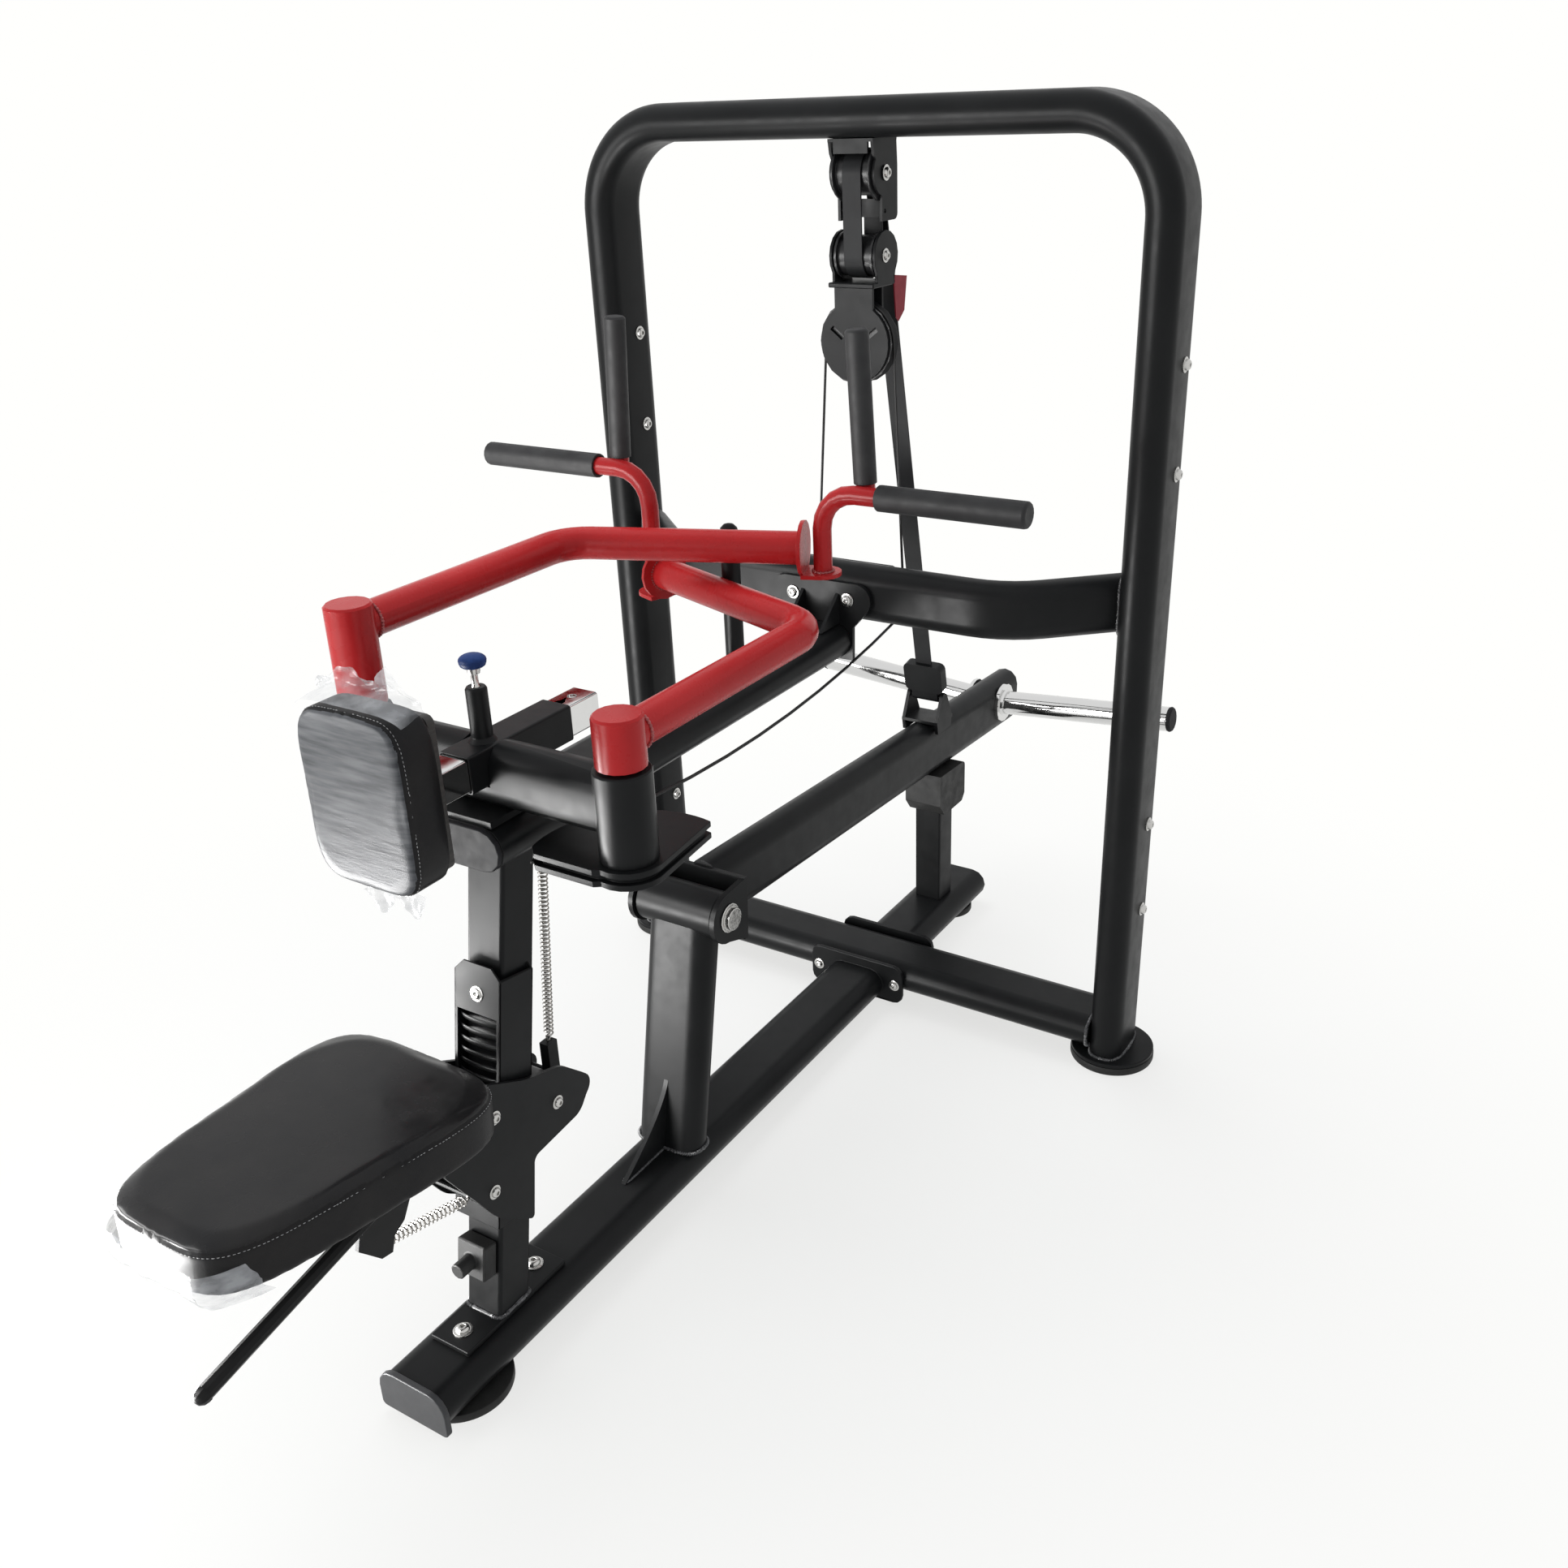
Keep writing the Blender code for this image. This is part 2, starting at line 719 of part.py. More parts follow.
def seat_stop():
    """Rubber-faced block low on the post, where the seat carriage stops."""
    front = POST_SIDE / 2 + GAP
    block = box((-0.026, -front - 0.026, 0.150), (0.026, -front, 0.205), POST_FRAME)
    nose = cylinder(0.012, POST_FRAME @ Vector((0, -front - 0.052, 0.172)),
                    POST_FRAME @ Vector((0, -front - 0.020, 0.178)), SMALL_SIDES)
    return part("seat_stop", joined(rounded(block, 0.003), nose), black_rubber("seat_stop_rubber"))


# Upper frame

BRACKET_REAR = CROSSBAR_Y - OVAL_SHORT / 2 - GAP
BRACKET_FRONT = BRACKET_REAR - PLATE


def upper_beam():
    """Long beam from the yoke to the crossbar, with the post that stops both arms."""
    rear = BRACKET_FRONT - GAP
    beam = prism([oval(OVAL_LONG, OVAL_SHORT)], rear - BEAM_FRONT,
                 place((0, (rear + BEAM_FRONT) / 2, BEAM_Z), X_AXIS, Z_AXIS))
    foot = 0.022
    dome = [(STOP_POST_RADIUS * math.cos(math.radians(a)), STOP_POST_TOP - STOP_POST_RADIUS
             + STOP_POST_RADIUS * math.sin(math.radians(a))) for a in (90, 60, 30, 0)]
    profile = dome + [(STOP_POST_RADIUS, BEAM_HIGH + 0.006), (foot, BEAM_HIGH), (foot, BEAM_HIGH - BITE),
                      (0, BEAM_HIGH - BITE)]
    post = turned(profile, ROUND_SIDES, Matrix.Translation((0, STOP_POST_Y, 0)))
    return part("upper_beam", joined(beam, post), black_paint("beam_paint"))


def beam_end_cap():
    front = BEAM_FRONT - GAP
    cap = prism([oval(OVAL_LONG, OVAL_SHORT)], BEAM_CAP_LENGTH,
                place((0, front - BEAM_CAP_LENGTH / 2, BEAM_Z), X_AXIS, Z_AXIS))
    return part("beam_end_cap", cap, black_plastic("beam_cap_plastic"))


def crossbar():
    """Flat-oval bar between the legs; its ends sweep back to meet them."""
    run = math.cos(CROSSBAR_SWEEP)
    rise = math.sin(CROSSBAR_SWEEP)
    end_reach = 0.260
    end_x = CROSSBAR_BEND_X + end_reach * run
    end_y = CROSSBAR_Y + end_reach * rise
    corners = [(-end_x, end_y, 0), (-CROSSBAR_BEND_X, CROSSBAR_Y, 0),
               (CROSSBAR_BEND_X, CROSSBAR_Y, 0), (end_x, end_y, 0)]
    path = bent_path(corners, CROSSBAR_BEND, 5)
    bar = swept(path, oval(OVAL_SHORT, CROSSBAR_HIGH), flat_on_xy(CROSSBAR_Z))
    leg_face = LEG_INNER + (ARCH_TOP_HALF - ARCH_HALF) * (CROSSBAR_Z - CROSSBAR_HIGH / 2) / ARCH_TOP
    for side in (-1, 1):
        edges = sorted((side * (leg_face - GAP), side * 1.0))
        bar = cut(bar, box((edges[0], -0.3, 0.5), (edges[1], 0.3, 1.2)))
    return part("crossbar", bar, black_paint("crossbar_paint"))


def beam_bracket():
    """Eared plate between the beam and the crossbar, with two ribs on the beam."""
    ear_x = 0.070
    ear_z = 0.865
    ear_radius = 0.028
    waist = 0.062
    right = ([(waist, BEAM_LOW - 0.003), (waist + 0.001, 0.815)]
             + arc((ear_x, ear_z), ear_radius, -50, 90, 6))
    left = [(-x, z) for x, z in reversed(right)]
    plate = prism([right + left], PLATE, flat_on_xz(BRACKET_FRONT + PLATE / 2))
    for side in (-1, 1):
        rib = prism([[(BRACKET_FRONT + BITE, BEAM_HIGH + GAP), (BRACKET_FRONT + BITE, ear_z + 0.010),
                      (BRACKET_FRONT - 0.060, BEAM_HIGH + GAP)]], 0.006, flat_on_yz(side * 0.034))
        plate = joined(plate, rib)
    return part("beam_bracket", plate, black_paint("bracket_paint"))


def guide_pulley_bracket():
    """Plate behind the crossbar with two pairs of cheeks for the guide pulleys."""
    front = CROSSBAR_Y + OVAL_SHORT / 2 + GAP
    thick = 0.005
    cheek_gap = GUIDE_PULLEY_WIDTH / 2 + GAP * 2
    cheek = 0.003
    half = GUIDE_X + cheek_gap + cheek + 0.012
    plate = prism([rounded_rectangle(half, GUIDE_Z - 0.014, CROSSBAR_Z + 0.040, 0.008)], thick,
                  flat_on_xz(front + thick / 2))
    root = front + thick - BITE
    nose = arc((GUIDE_Y, GUIDE_Z), 0.013, -90, 90, 5)
    shape = [(root, GUIDE_Z - 0.013)] + nose + [(root, GUIDE_Z + 0.050)]
    for side in (-1, 1):
        for edge in (-1, 1):
            x = side * GUIDE_X + edge * (cheek_gap + cheek / 2)
            plate = joined(plate, prism([shape], cheek, flat_on_yz(x)))
        reach = cheek_gap + cheek
        axle = cylinder(0.005, (side * GUIDE_X - reach, GUIDE_Y, GUIDE_Z),
                        (side * GUIDE_X + reach, GUIDE_Y, GUIDE_Z), SMALL_SIDES)
        plate = joined(plate, axle)
    return part("guide_pulley_bracket", plate, black_paint("guide_bracket_paint"))


def pivot_yoke():
    """Cross tube with an upright bearing housing at each end, on its plate over the beam."""
    yoke = prism([oval(OVAL_SHORT, YOKE_HIGH)], 2 * PIVOT_X, place((0, PIVOT_Y, YOKE_Z), Y_AXIS, Z_AXIS))
    plate = box((-0.045, BEAM_FRONT, BEAM_HIGH + GAP),
                (0.045, SLEEVE_REAR + 0.010, BEAM_HIGH + PLATE + BITE))
    yoke = joined(yoke, plate)
    for side in (-1, 1):
        centre = Matrix.Translation((side * PIVOT_X, PIVOT_Y, 0))
        edge = 0.002
        housing = turned([(0, HOUSING_HIGH), (HOUSING_RADIUS - edge, HOUSING_HIGH),
                          (HOUSING_RADIUS, HOUSING_HIGH - edge), (HOUSING_RADIUS, HOUSING_LOW),
                          (0, HOUSING_LOW)], ROUND_SIDES, centre)
        yoke = joined(yoke, housing)
    for side in (-1, 1):
        x = side * PIVOT_X
        bore = cylinder(SHAFT_RADIUS + SHAFT_PLAY, (x, PIVOT_Y, 0.7), (x, PIVOT_Y, 1.0), ROUND_SIDES)
        yoke = cut(yoke, bore)
    half = SLEEVE_SIDE / 2 + GAP
    notch = box((-half, PIVOT_Y - 0.1, CHEST_TUBE_Z - half), (half, PIVOT_Y + 0.1, 1.0))
    return part("pivot_yoke", cut(yoke, notch), black_paint("yoke_paint"))


def chest_sleeve():
    """Square sleeve for the chest pad's tube, with the spring pin's barrel welded on top."""
    outer = SLEEVE_SIDE / 2
    inner = CHEST_TUBE / 2 + TUBE_PLAY
    wall = [rounded_rectangle(outer, -outer, outer, 0.004, 2),
            rounded_rectangle(inner, -inner, inner, 0.002, 2)]
    sleeve = prism(wall, SLEEVE_REAR - SLEEVE_FRONT,
                   place((0, (SLEEVE_REAR + SLEEVE_FRONT) / 2, CHEST_TUBE_Z), X_AXIS, Z_AXIS))
    top = CHEST_TUBE_Z + outer
    barrel = turned([(0, 0.988), (0.012, 0.988), (0.014, 0.985), (0.014, top + 0.006), (0.019, top),
                     (0.019, top - 0.001), (0, top - 0.001)], ROUND_SIDES, Matrix.Translation((0, PIN_Y, 0)))
    bore = cylinder(PIN_RADIUS + SHAFT_PLAY, (0, PIN_Y, CHEST_TUBE_Z), (0, PIN_Y, 1.2), SMALL_SIDES)
    return part("chest_sleeve", cut(joined(sleeve, barrel), bore), black_paint("sleeve_paint"))


def pulley_bracket():
    """Hanger under the arch: two cheeks, the upper pulley's axle and the belt's anchor bar."""
    top = ARCH_TOP - OVAL_SHORT / 2 - GAP
    thick = 0.005
    cheek_x = 0.0385
    half = 0.039
    lip_x = 0.031
    plate = box((-cheek_x - thick / 2, -half, top - thick), (cheek_x + thick / 2, half, top))
    lip = box((-lip_x, -half, top - 0.022), (lip_x, 0.005 - half, top - BITE))
    body = joined(plate, lip)
    rear = 0.041
    front = -0.010
    low = ANCHOR_Z - 0.003
    shape = [(half - 0.001, top - BITE), (rear, UPPER_PULLEY_Z + 0.010)]
    shape += list(reversed(arc((rear - 0.010, low + 0.010), 0.010, 270, 360, 4)))
    shape += [(front, low), (front, UPPER_PULLEY_Z - 0.034)]
    shape += list(reversed(arc((0, UPPER_PULLEY_Z), 0.036, 145, 235, 6)))
    shape += [(0.004 - half, top - 0.022), (-half, top - BITE)]
    hole = arc((-0.001, ANCHOR_Z + 0.012), 0.0035, 0, 330, 11)
    for side in (-1, 1):
        body = joined(body, prism([shape, hole], thick, flat_on_yz(side * cheek_x)))
    reach = cheek_x + thick
    axle = cylinder(AXLE_RADIUS, (-reach, 0, UPPER_PULLEY_Z), (reach, 0, UPPER_PULLEY_Z), SMALL_SIDES)
    anchor_y = LOWER_BELT_RADIUS - BELT_THICK / 2 - GAP
    anchor = box((-cheek_x, anchor_y - 0.006, ANCHOR_Z), (cheek_x, anchor_y, ANCHOR_Z + 0.028))
    return part("pulley_bracket", joined(body, axle, anchor), black_paint("hanger_paint"))


# Soft and wound forms

def cushion(half_front, half_rear, length, thick, crown, matrix, cuts=3):
    """Stuffed pad: cage with a crowned top, drawn-in corners and a flat back, then smoothed.

    Local X is the width, Y runs from the rear edge to the front edge, Z from back to crown.
    """
    mesh = bpy.data.meshes.new("pad")
    work = bmesh.new()
    bmesh.ops.create_cube(work, size=2)
    bmesh.ops.subdivide_edges(work, edges=work.edges, cuts=cuts, use_grid_fill=True)
    side_bulge = 0.003
    edge_pull = 1.6
    drawn_in = 0.001
    for vertex in work.verts:
        a, b, c = vertex.co
        spread_a = math.copysign(1 - (1 - abs(a)) ** edge_pull, a)
        spread_b = math.copysign(1 - (1 - abs(b)) ** edge_pull, b)
        along = (spread_b + 1) / 2
        half = half_rear + (half_front - half_rear) * along
        swell = side_bulge * (1 - c * c)
        corner = 1 - 0.045 * (spread_a * spread_b) ** 2
        x = spread_a * (half + drawn_in - side_bulge + swell * abs(a)) * corner
        y = length / 2 + spread_b * (length / 2 + drawn_in - side_bulge + swell * abs(b)) * corner
        rise = crown * (1 - spread_a ** 2) * (1 - spread_b ** 2) if c > 0 else 0
        z = (c + 1) / 2 * (thick - crown + rise)
        vertex.co = (x, y, z)
    work.to_mesh(mesh)
    work.free()
    obj = linked(mesh)
    smooth = obj.modifiers.new("smooth", "SUBSURF")
    smooth.levels = 1
    smooth.render_levels = 1
    return bake(obj, matrix)


def coil(name, start, end, radius, wire, curls):
    """Wire spring between two points, with straight ends; prints its least gap between curls."""
    axis = Vector(end) - Vector(start)
    points_per_curl = 8
    count = curls * points_per_curl
    path = []
    for i in range(count + 1):
        angle = 2 * math.pi * i / points_per_curl
        path.append(Vector((radius * math.cos(angle), radius * math.sin(angle), axis.length * i / count)))
    path.insert(0, path[0] + (path[0] - path[1]).normalized() * 2 * wire)
    path.append(path[-1] + (path[-1] - path[-2]).normalized() * 2 * wire)
    gap = min((a - b).length for i, a in enumerate(path) for b in path[i + points_per_curl - 2:
                                                                     i + points_per_curl + 3])
    print(name, "least gap between curls, mm:", round((gap - 2 * wire) * 1000, 2))
    return tube(path, wire, 6, turned_along(start, axis))


# Chest pad and its spring pin

PAD_REAR = PAD_FRONT + PAD_THICK
BOARD_REAR = PAD_REAR + GAP + BOARD_THICK
CHEST_PLATE = 0.005
CHEST_TUBE_TOP = CHEST_TUBE_Z + CHEST_TUBE / 2


def chest_tube():
    """Square tube with its end plate and a row of location holes on top."""
    half = CHEST_TUBE / 2
    start = BOARD_REAR + GAP
    tube_body = prism([rounded_rectangle(half, -half, half, 0.004, 2)], CHEST_TUBE_REAR - start,
                      place((0, (CHEST_TUBE_REAR + start) / 2, CHEST_TUBE_Z), X_AXIS, Z_AXIS))
    end_plate = prism([rounded_rectangle(0.048, -0.048, 0.048, 0.006, 2)], CHEST_PLATE,
                      place((0, start + CHEST_PLATE / 2, CHEST_TUBE_Z), X_AXIS, Z_AXIS))
    body = joined(tube_body, end_plate)
    for i in range(7):
        y = PIN_Y + 0.025 * (i + 1)
        body = cut(body, cylinder(PIN_RADIUS + SHAFT_PLAY, (0, y, CHEST_TUBE_TOP - 0.004),
                                  (0, y, CHEST_TUBE_TOP + 0.010), SMALL_SIDES))
    return part("chest_tube", body, polished_steel("chest_tube_chrome"))


def chest_pad_board():
    margin = 0.015
    shape = rounded_rectangle(PAD_HALF - margin, PAD_LOW + margin, PAD_HIGH - margin, 0.010)
    board = prism([shape], BOARD_THICK, flat_on_xz(PAD_REAR + GAP + BOARD_THICK / 2))
    return part("chest_pad_board", board, plywood("chest_board_wood"))


def chest_pad():
    matrix = place((0, PAD_REAR, PAD_LOW), X_AXIS, Z_AXIS)
    pad = cushion(PAD_HALF, PAD_HALF, PAD_HIGH - PAD_LOW, PAD_THICK, 0.010, matrix)
    return part("chest_pad", pad, black_vinyl("chest_pad_vinyl"))


def pop_pin():
    """Spring pin with its mushroom knob."""
    base = 1.0135
    tip = CHEST_TUBE_TOP + GAP
    profile = [(0, 1.031), (0.0110, 1.0305), (0.0160, 1.028), (0.0175, 1.0235), (0.0165, 1.0175),
               (0.0120, base), (PIN_RADIUS, base), (PIN_RADIUS, tip), (0, tip)]
    pin = turned(profile, ROUND_SIDES, Matrix.Translation((0, PIN_Y, 0)))
    return part("pop_pin", pin, blue_plastic("knob_plastic"), (0, PIN_Y, tip))


# Arms, handles, grips and cams

SHAFT_LOW = 0.7657
CAM_TOP = 0.7997
CAM_LOW = 0.7757
CAM_PLATE = 0.008
CAM_CABLE_Z = (CAM_TOP + CAM_LOW) / 2


def arm_direction(side):
    """Direction of the arm's second run, past its bend."""
    turn = ARM_TURN
    return Vector((-side * math.sin(turn), math.cos(turn), 0))


def arm(name, side, height):
    """Upright hub and shaft, bent tube, end plate and the tongue that carries the handle."""
    pivot = Vector((side * PIVOT_X, PIVOT_Y, 0))
    level = Vector((0, 0, height))
    corner = pivot + Vector((0, ARM_REACH, 0))
    forward = arm_direction(side)
    end = corner + forward * ARM_CROSSING
    hub_low = HOUSING_HIGH + HUB_GAP
    hub_high = height + HUB_ABOVE_ARM
    edge = 0.003
    hub = turned([(0, hub_high), (HUB_RADIUS - edge, hub_high), (HUB_RADIUS, hub_high - edge),
                  (HUB_RADIUS, hub_low), (SHAFT_RADIUS, hub_low), (SHAFT_RADIUS, SHAFT_LOW), (0, SHAFT_LOW)],
                 ROUND_SIDES, Matrix.Translation(pivot))
    path = bent_path([pivot + Vector((0, 0.012, 0)) + level, corner + level, end + level], ARM_BEND, 5)
    bar = tube(path, ARM_RADIUS, ROUND_SIDES)
    plate = cylinder(END_PLATE_RADIUS, end + level - forward * BITE,
                     end + level + forward * (END_PLATE - BITE), ROUND_SIDES)
    sideways = Vector((forward.y, -forward.x, 0))
    tongue_frame = place(end + level - Vector((0, 0, TONGUE_DROP)), forward, -sideways)
    tongue_half = 0.028
    reach = 0.030
    shape = [(0.001, -tongue_half)] + arc((reach, 0), tongue_half, -90, 90, 8) + [(0.001, tongue_half)]
    tongue = prism([shape], END_PLATE, tongue_frame)
    body = joined(hub, bar, plate, tongue)
    return part(name, body, red_paint(name + "_paint"), (pivot.x, pivot.y, height))


def handle_top(side, height):
    """Point on the upright branch's axis at a height."""
    return Vector((side * (UPRIGHT_X - UPRIGHT_LEAN * (height - HANDLE_Z)), UPRIGHT_Y, height))


def handle(name, side, height):
    """Bent bar on the arm's tongue, with its upright branch; side is where the handle stands."""
    low = height - TONGUE_DROP + END_PLATE / 2 + GAP
    wall = 0.004
    foot = Vector((side * HANDLE_X, HANDLE_Y, low))
    elbow = Vector((side * HANDLE_X, HANDLE_Y, HANDLE_Z))
    tip = Vector((side * (GRIP_END - wall - GAP), HANDLE_Y, HANDLE_Z))
    bar = tube(bent_path([foot, elbow, tip], HANDLE_BEND, 5), HANDLE_RADIUS, SMALL_SIDES + 2)
    branch = cylinder(HANDLE_RADIUS, handle_top(side, HANDLE_Z),
                      handle_top(side, UPRIGHT_GRIP_END - wall - GAP), SMALL_SIDES + 2)
    return part(name, joined(bar, branch), red_paint(name + "_paint"))


def grip(name, start, end, radius):
    """Rubber sleeve, closed at its far end."""
    length = (Vector(end) - Vector(start)).length
    bore = HANDLE_RADIUS + GAP
    wall = 0.004
    edge = 0.003
    profile = [(0, length), (radius - edge, length), (radius, length - edge), (radius, 0), (bore, 0),
               (bore, length - wall), (0, length - wall)]
    sleeve = turned(profile, ROUND_SIDES, turned_along(start, Vector(end) - Vector(start)))
    return part(name, sleeve, black_rubber(name + "_rubber"))


def outer_grip(name, side):
    start = (side * GRIP_START, HANDLE_Y, HANDLE_Z)
    end = (side * GRIP_END, HANDLE_Y, HANDLE_Z)
    return grip(name, start, end, GRIP_RADIUS)


def upright_grip(name, side):
    return grip(name, handle_top(side, UPRIGHT_GRIP_START), handle_top(side, UPRIGHT_GRIP_END),
                UPRIGHT_GRIP_RADIUS)


def cam_outline(radius, inset):
    """Right cam about its pivot: a big cable arc and a small round nose past the housing."""
    nose = CAM_HOUSING_RADIUS - inset
    foot = -0.050 + inset
    shape = arc((0, 0), radius, 76, 196, 20)
    shape += [(-0.112 + inset, foot), (-0.020, foot)]
    shape += arc((0, 0), nose, 255, 360, 6)
    return shape


def cam(name, side, height):
    """Two plates with the smaller core between them that the cable wraps."""
    core = CAM_CABLE_RADIUS - CABLE_RADIUS - 0.0005
    pivot = Matrix.Translation((PIVOT_X, PIVOT_Y, 0))
    top = prism([cam_outline(CAM_RADIUS, 0)], CAM_PLATE, pivot @ flat_on_xy(CAM_TOP - CAM_PLATE / 2))
    middle = prism([cam_outline(core, 0.008)], CAM_TOP - CAM_LOW - CAM_PLATE,
                   pivot @ flat_on_xy(CAM_CABLE_Z))
    low = prism([cam_outline(CAM_RADIUS, 0)], CAM_PLATE, pivot @ flat_on_xy(CAM_LOW + CAM_PLATE / 2))
    hole = cylinder(SHAFT_RADIUS + GAP, (PIVOT_X, PIVOT_Y, 0.7), (PIVOT_X, PIVOT_Y, 0.85), ROUND_SIDES)
    body = cut(joined(top, middle, low), hole)
    if side < 0:
        plain = mirrored(body)
        bpy.data.objects.remove(body, do_unlink=True)
        body = plain
    return part(name, body, black_paint(name + "_paint"), (side * PIVOT_X, PIVOT_Y, height))


# Pulleys, block, cable and belt

BELT_RISE = math.sqrt(1 + BELT_SLOPE ** 2)
UPPER_BELT_RADIUS = UPPER_DRUM_RADIUS + GAP + BELT_THICK / 2
LOWER_BELT_RADIUS = LOWER_DRUM_RADIUS + GAP + BELT_THICK / 2
DRUM_HALF = 0.031
DRUM_FLANGE = 0.004


def grooved_wheel(outer, root, bore, width, matrix):
    """Cable pulley with a sloped groove."""
    floor_half = CABLE_RADIUS + GAP
    rim = 0.0012
    half = width / 2
    profile = [(outer, half), (outer, half - rim), (root, floor_half), (root, -floor_half),
               (outer, rim - half), (outer, -half), (bore, -half), (bore, half)]
    return turned(profile, ROUND_SIDES, matrix, True)


def guide_pulley(name, side):
    centre = (side * GUIDE_X, GUIDE_Y, GUIDE_Z)
    root = GUIDE_CABLE_RADIUS - CABLE_RADIUS - GAP
    wheel = grooved_wheel(GUIDE_PULLEY_RADIUS, root, 0.0055, GUIDE_PULLEY_WIDTH,
                          turned_along(centre, X_AXIS))
    return part(name, wheel, black_plastic(name + "_plastic"), centre)


def cable_pulley():
    centre = (0, CABLE_PULLEY_Y, CABLE_PULLEY_Z)
    root = BLOCK_CABLE_RADIUS - CABLE_RADIUS - GAP
    wheel = grooved_wheel(CABLE_PULLEY_RADIUS, root, AXLE_RADIUS + SHAFT_PLAY, CABLE_PULLEY_WIDTH,
                          turned_along(centre, Y_AXIS))
    return part("cable_pulley", wheel, black_plastic("cable_pulley_plastic"), centre)


def belt_pulley(name, z, drum, flange):
    """Flat drum with a flange at each end."""
    side = DRUM_HALF + DRUM_FLANGE
    bore = AXLE_RADIUS + SHAFT_PLAY
    profile = [(flange, side), (flange, DRUM_HALF), (drum, DRUM_HALF), (drum, -DRUM_HALF),
               (flange, -DRUM_HALF), (flange, -side), (bore, -side), (bore, side)]
    wheel = turned(profile, ROUND_SIDES, turned_along((0, 0, z), X_AXIS), True)
    return part(name, wheel, black_plastic(name + "_plastic"), (0, 0, z))


def floating_block():
    """Lower belt pulley's cheeks over a clip bar that holds the two discs of the cable pulley."""
    cheek = 0.005
    cheek_x = 0.040
    bar_high = LOWER_PULLEY_Z - LOWER_FLANGE_RADIUS - 0.0008
    bar_low = bar_high - 0.008
    bar = box((-0.0425, -0.045, bar_low), (0.0425, 0.030, bar_high))
    body = rounded(bar, 0.0015, 1)
    lobe = arc((0, LOWER_PULLEY_Z), 0.0395, -40, 220, 12)
    shape = lobe + [(-0.030, bar_low + 0.002), (0.026, bar_low + 0.002)]
    for side in (-1, 1):
        body = joined(body, prism([shape], cheek, flat_on_yz(side * cheek_x)))
    reach = cheek_x + cheek / 2 - BITE
    body = joined(body, cylinder(AXLE_RADIUS, (-reach, 0, LOWER_PULLEY_Z), (reach, 0, LOWER_PULLEY_Z),
                                 SMALL_SIDES))
    neck = 0.036
    disc_radius = 0.064
    open_angle = math.degrees(math.asin(neck / disc_radius))
    disc = arc((0, CABLE_PULLEY_Z), disc_radius, 90 + open_angle, 450 - open_angle, 24)
    top = bar_high - BITE
    disc_shape = disc + [(neck, top), (-neck, top)]
    front_y = CABLE_PULLEY_Y - CABLE_PULLEY_WIDTH / 2 - 0.0008 - cheek / 2
    rear_y = CABLE_PULLEY_Y + CABLE_PULLEY_WIDTH / 2 + 0.0008 + cheek / 2
    slots = []
    for side in (-1, 1):
        slots.append([(side * 0.040, CABLE_PULLEY_Z + 0.026), (side * 0.019, CABLE_PULLEY_Z + 0.010),
                      (side * 0.024, CABLE_PULLEY_Z + 0.004), (side * 0.045, CABLE_PULLEY_Z + 0.020)])
    body = joined(body, prism([disc_shape] + slots, cheek, flat_on_xz(front_y)))
    body = joined(body, prism([disc_shape], cheek, flat_on_xz(rear_y)))
    axle = cylinder(AXLE_RADIUS, (0, front_y, CABLE_PULLEY_Z), (0, rear_y, CABLE_PULLEY_Z), SMALL_SIDES)
    return part("floating_block", joined(body, axle), black_paint("block_paint"), (0, 0, LOWER_PULLEY_Z))


def belt_line():
    """Middle line of the belt as (y, z) points, from its anchor to the clamp."""
    points = [(LOWER_BELT_RADIUS, ANCHOR_Z + 0.024)]
    points += arc((0, LOWER_PULLEY_Z), LOWER_BELT_RADIUS, 0, -180, 12)
    leave = math.degrees(math.atan(BELT_SLOPE))
    points += arc((0, UPPER_PULLEY_Z), UPPER_BELT_RADIUS, 180, leave, 12)
    last_y, last_z = points[-1]
    points.append((last_y + BELT_SLOPE * (last_z - BELT_END_Z), BELT_END_Z))
    return [Vector(p) for p in points]


def strip_outline(line, thick):
    """Closed outline of a band of even thickness about an open line."""
    left = []
    right = []
    for i, point in enumerate(line):
        before = (point - line[i - 1]).normalized() if i > 0 else (line[1] - point).normalized()
        after = (line[i + 1] - point).normalized() if i < len(line) - 1 else before
        along = (before + after).normalized()
        across = Vector((-along.y, along.x)) * thick / 2 / max(along.dot(after), 0.5)
        left.append(point + across)
        right.append(point - across)
    return left + list(reversed(right))


def belt():
    strip = prism([strip_outline(belt_line(), BELT_THICK)], BELT_WIDTH, flat_on_yz(0))
    return part("belt", strip, black_rubber("belt_rubber"))


def cable_half(side):
    """Cable from its end on one cam to the side of the cable pulley."""
    points = []
    for x, y in arc((-PIVOT_X, PIVOT_Y), CAM_CABLE_RADIUS, -25, 0, 4):
        points.append(Vector((-side * x, y, CAM_CABLE_Z)))
    guide_x = side * GUIDE_X
    rise = math.degrees(math.atan(4 * CABLE_SAG / (GUIDE_Y - PIVOT_Y)))
    bend = arc((GUIDE_Y, GUIDE_Z), GUIDE_CABLE_RADIUS, 270 + rise, 360, 8)
    start = Vector((side * (PIVOT_X - CAM_CABLE_RADIUS), PIVOT_Y + 0.034, CAM_CABLE_Z))
    end = Vector((guide_x, *bend[0]))
    steps = 10
    for i in range(steps):
        along = i / steps
        points.append(start.lerp(end, along) - Vector((0, 0, 4 * CABLE_SAG * along * (1 - along))))
    for y, z in bend:
        points.append(Vector((guide_x, y, z)))
    return points


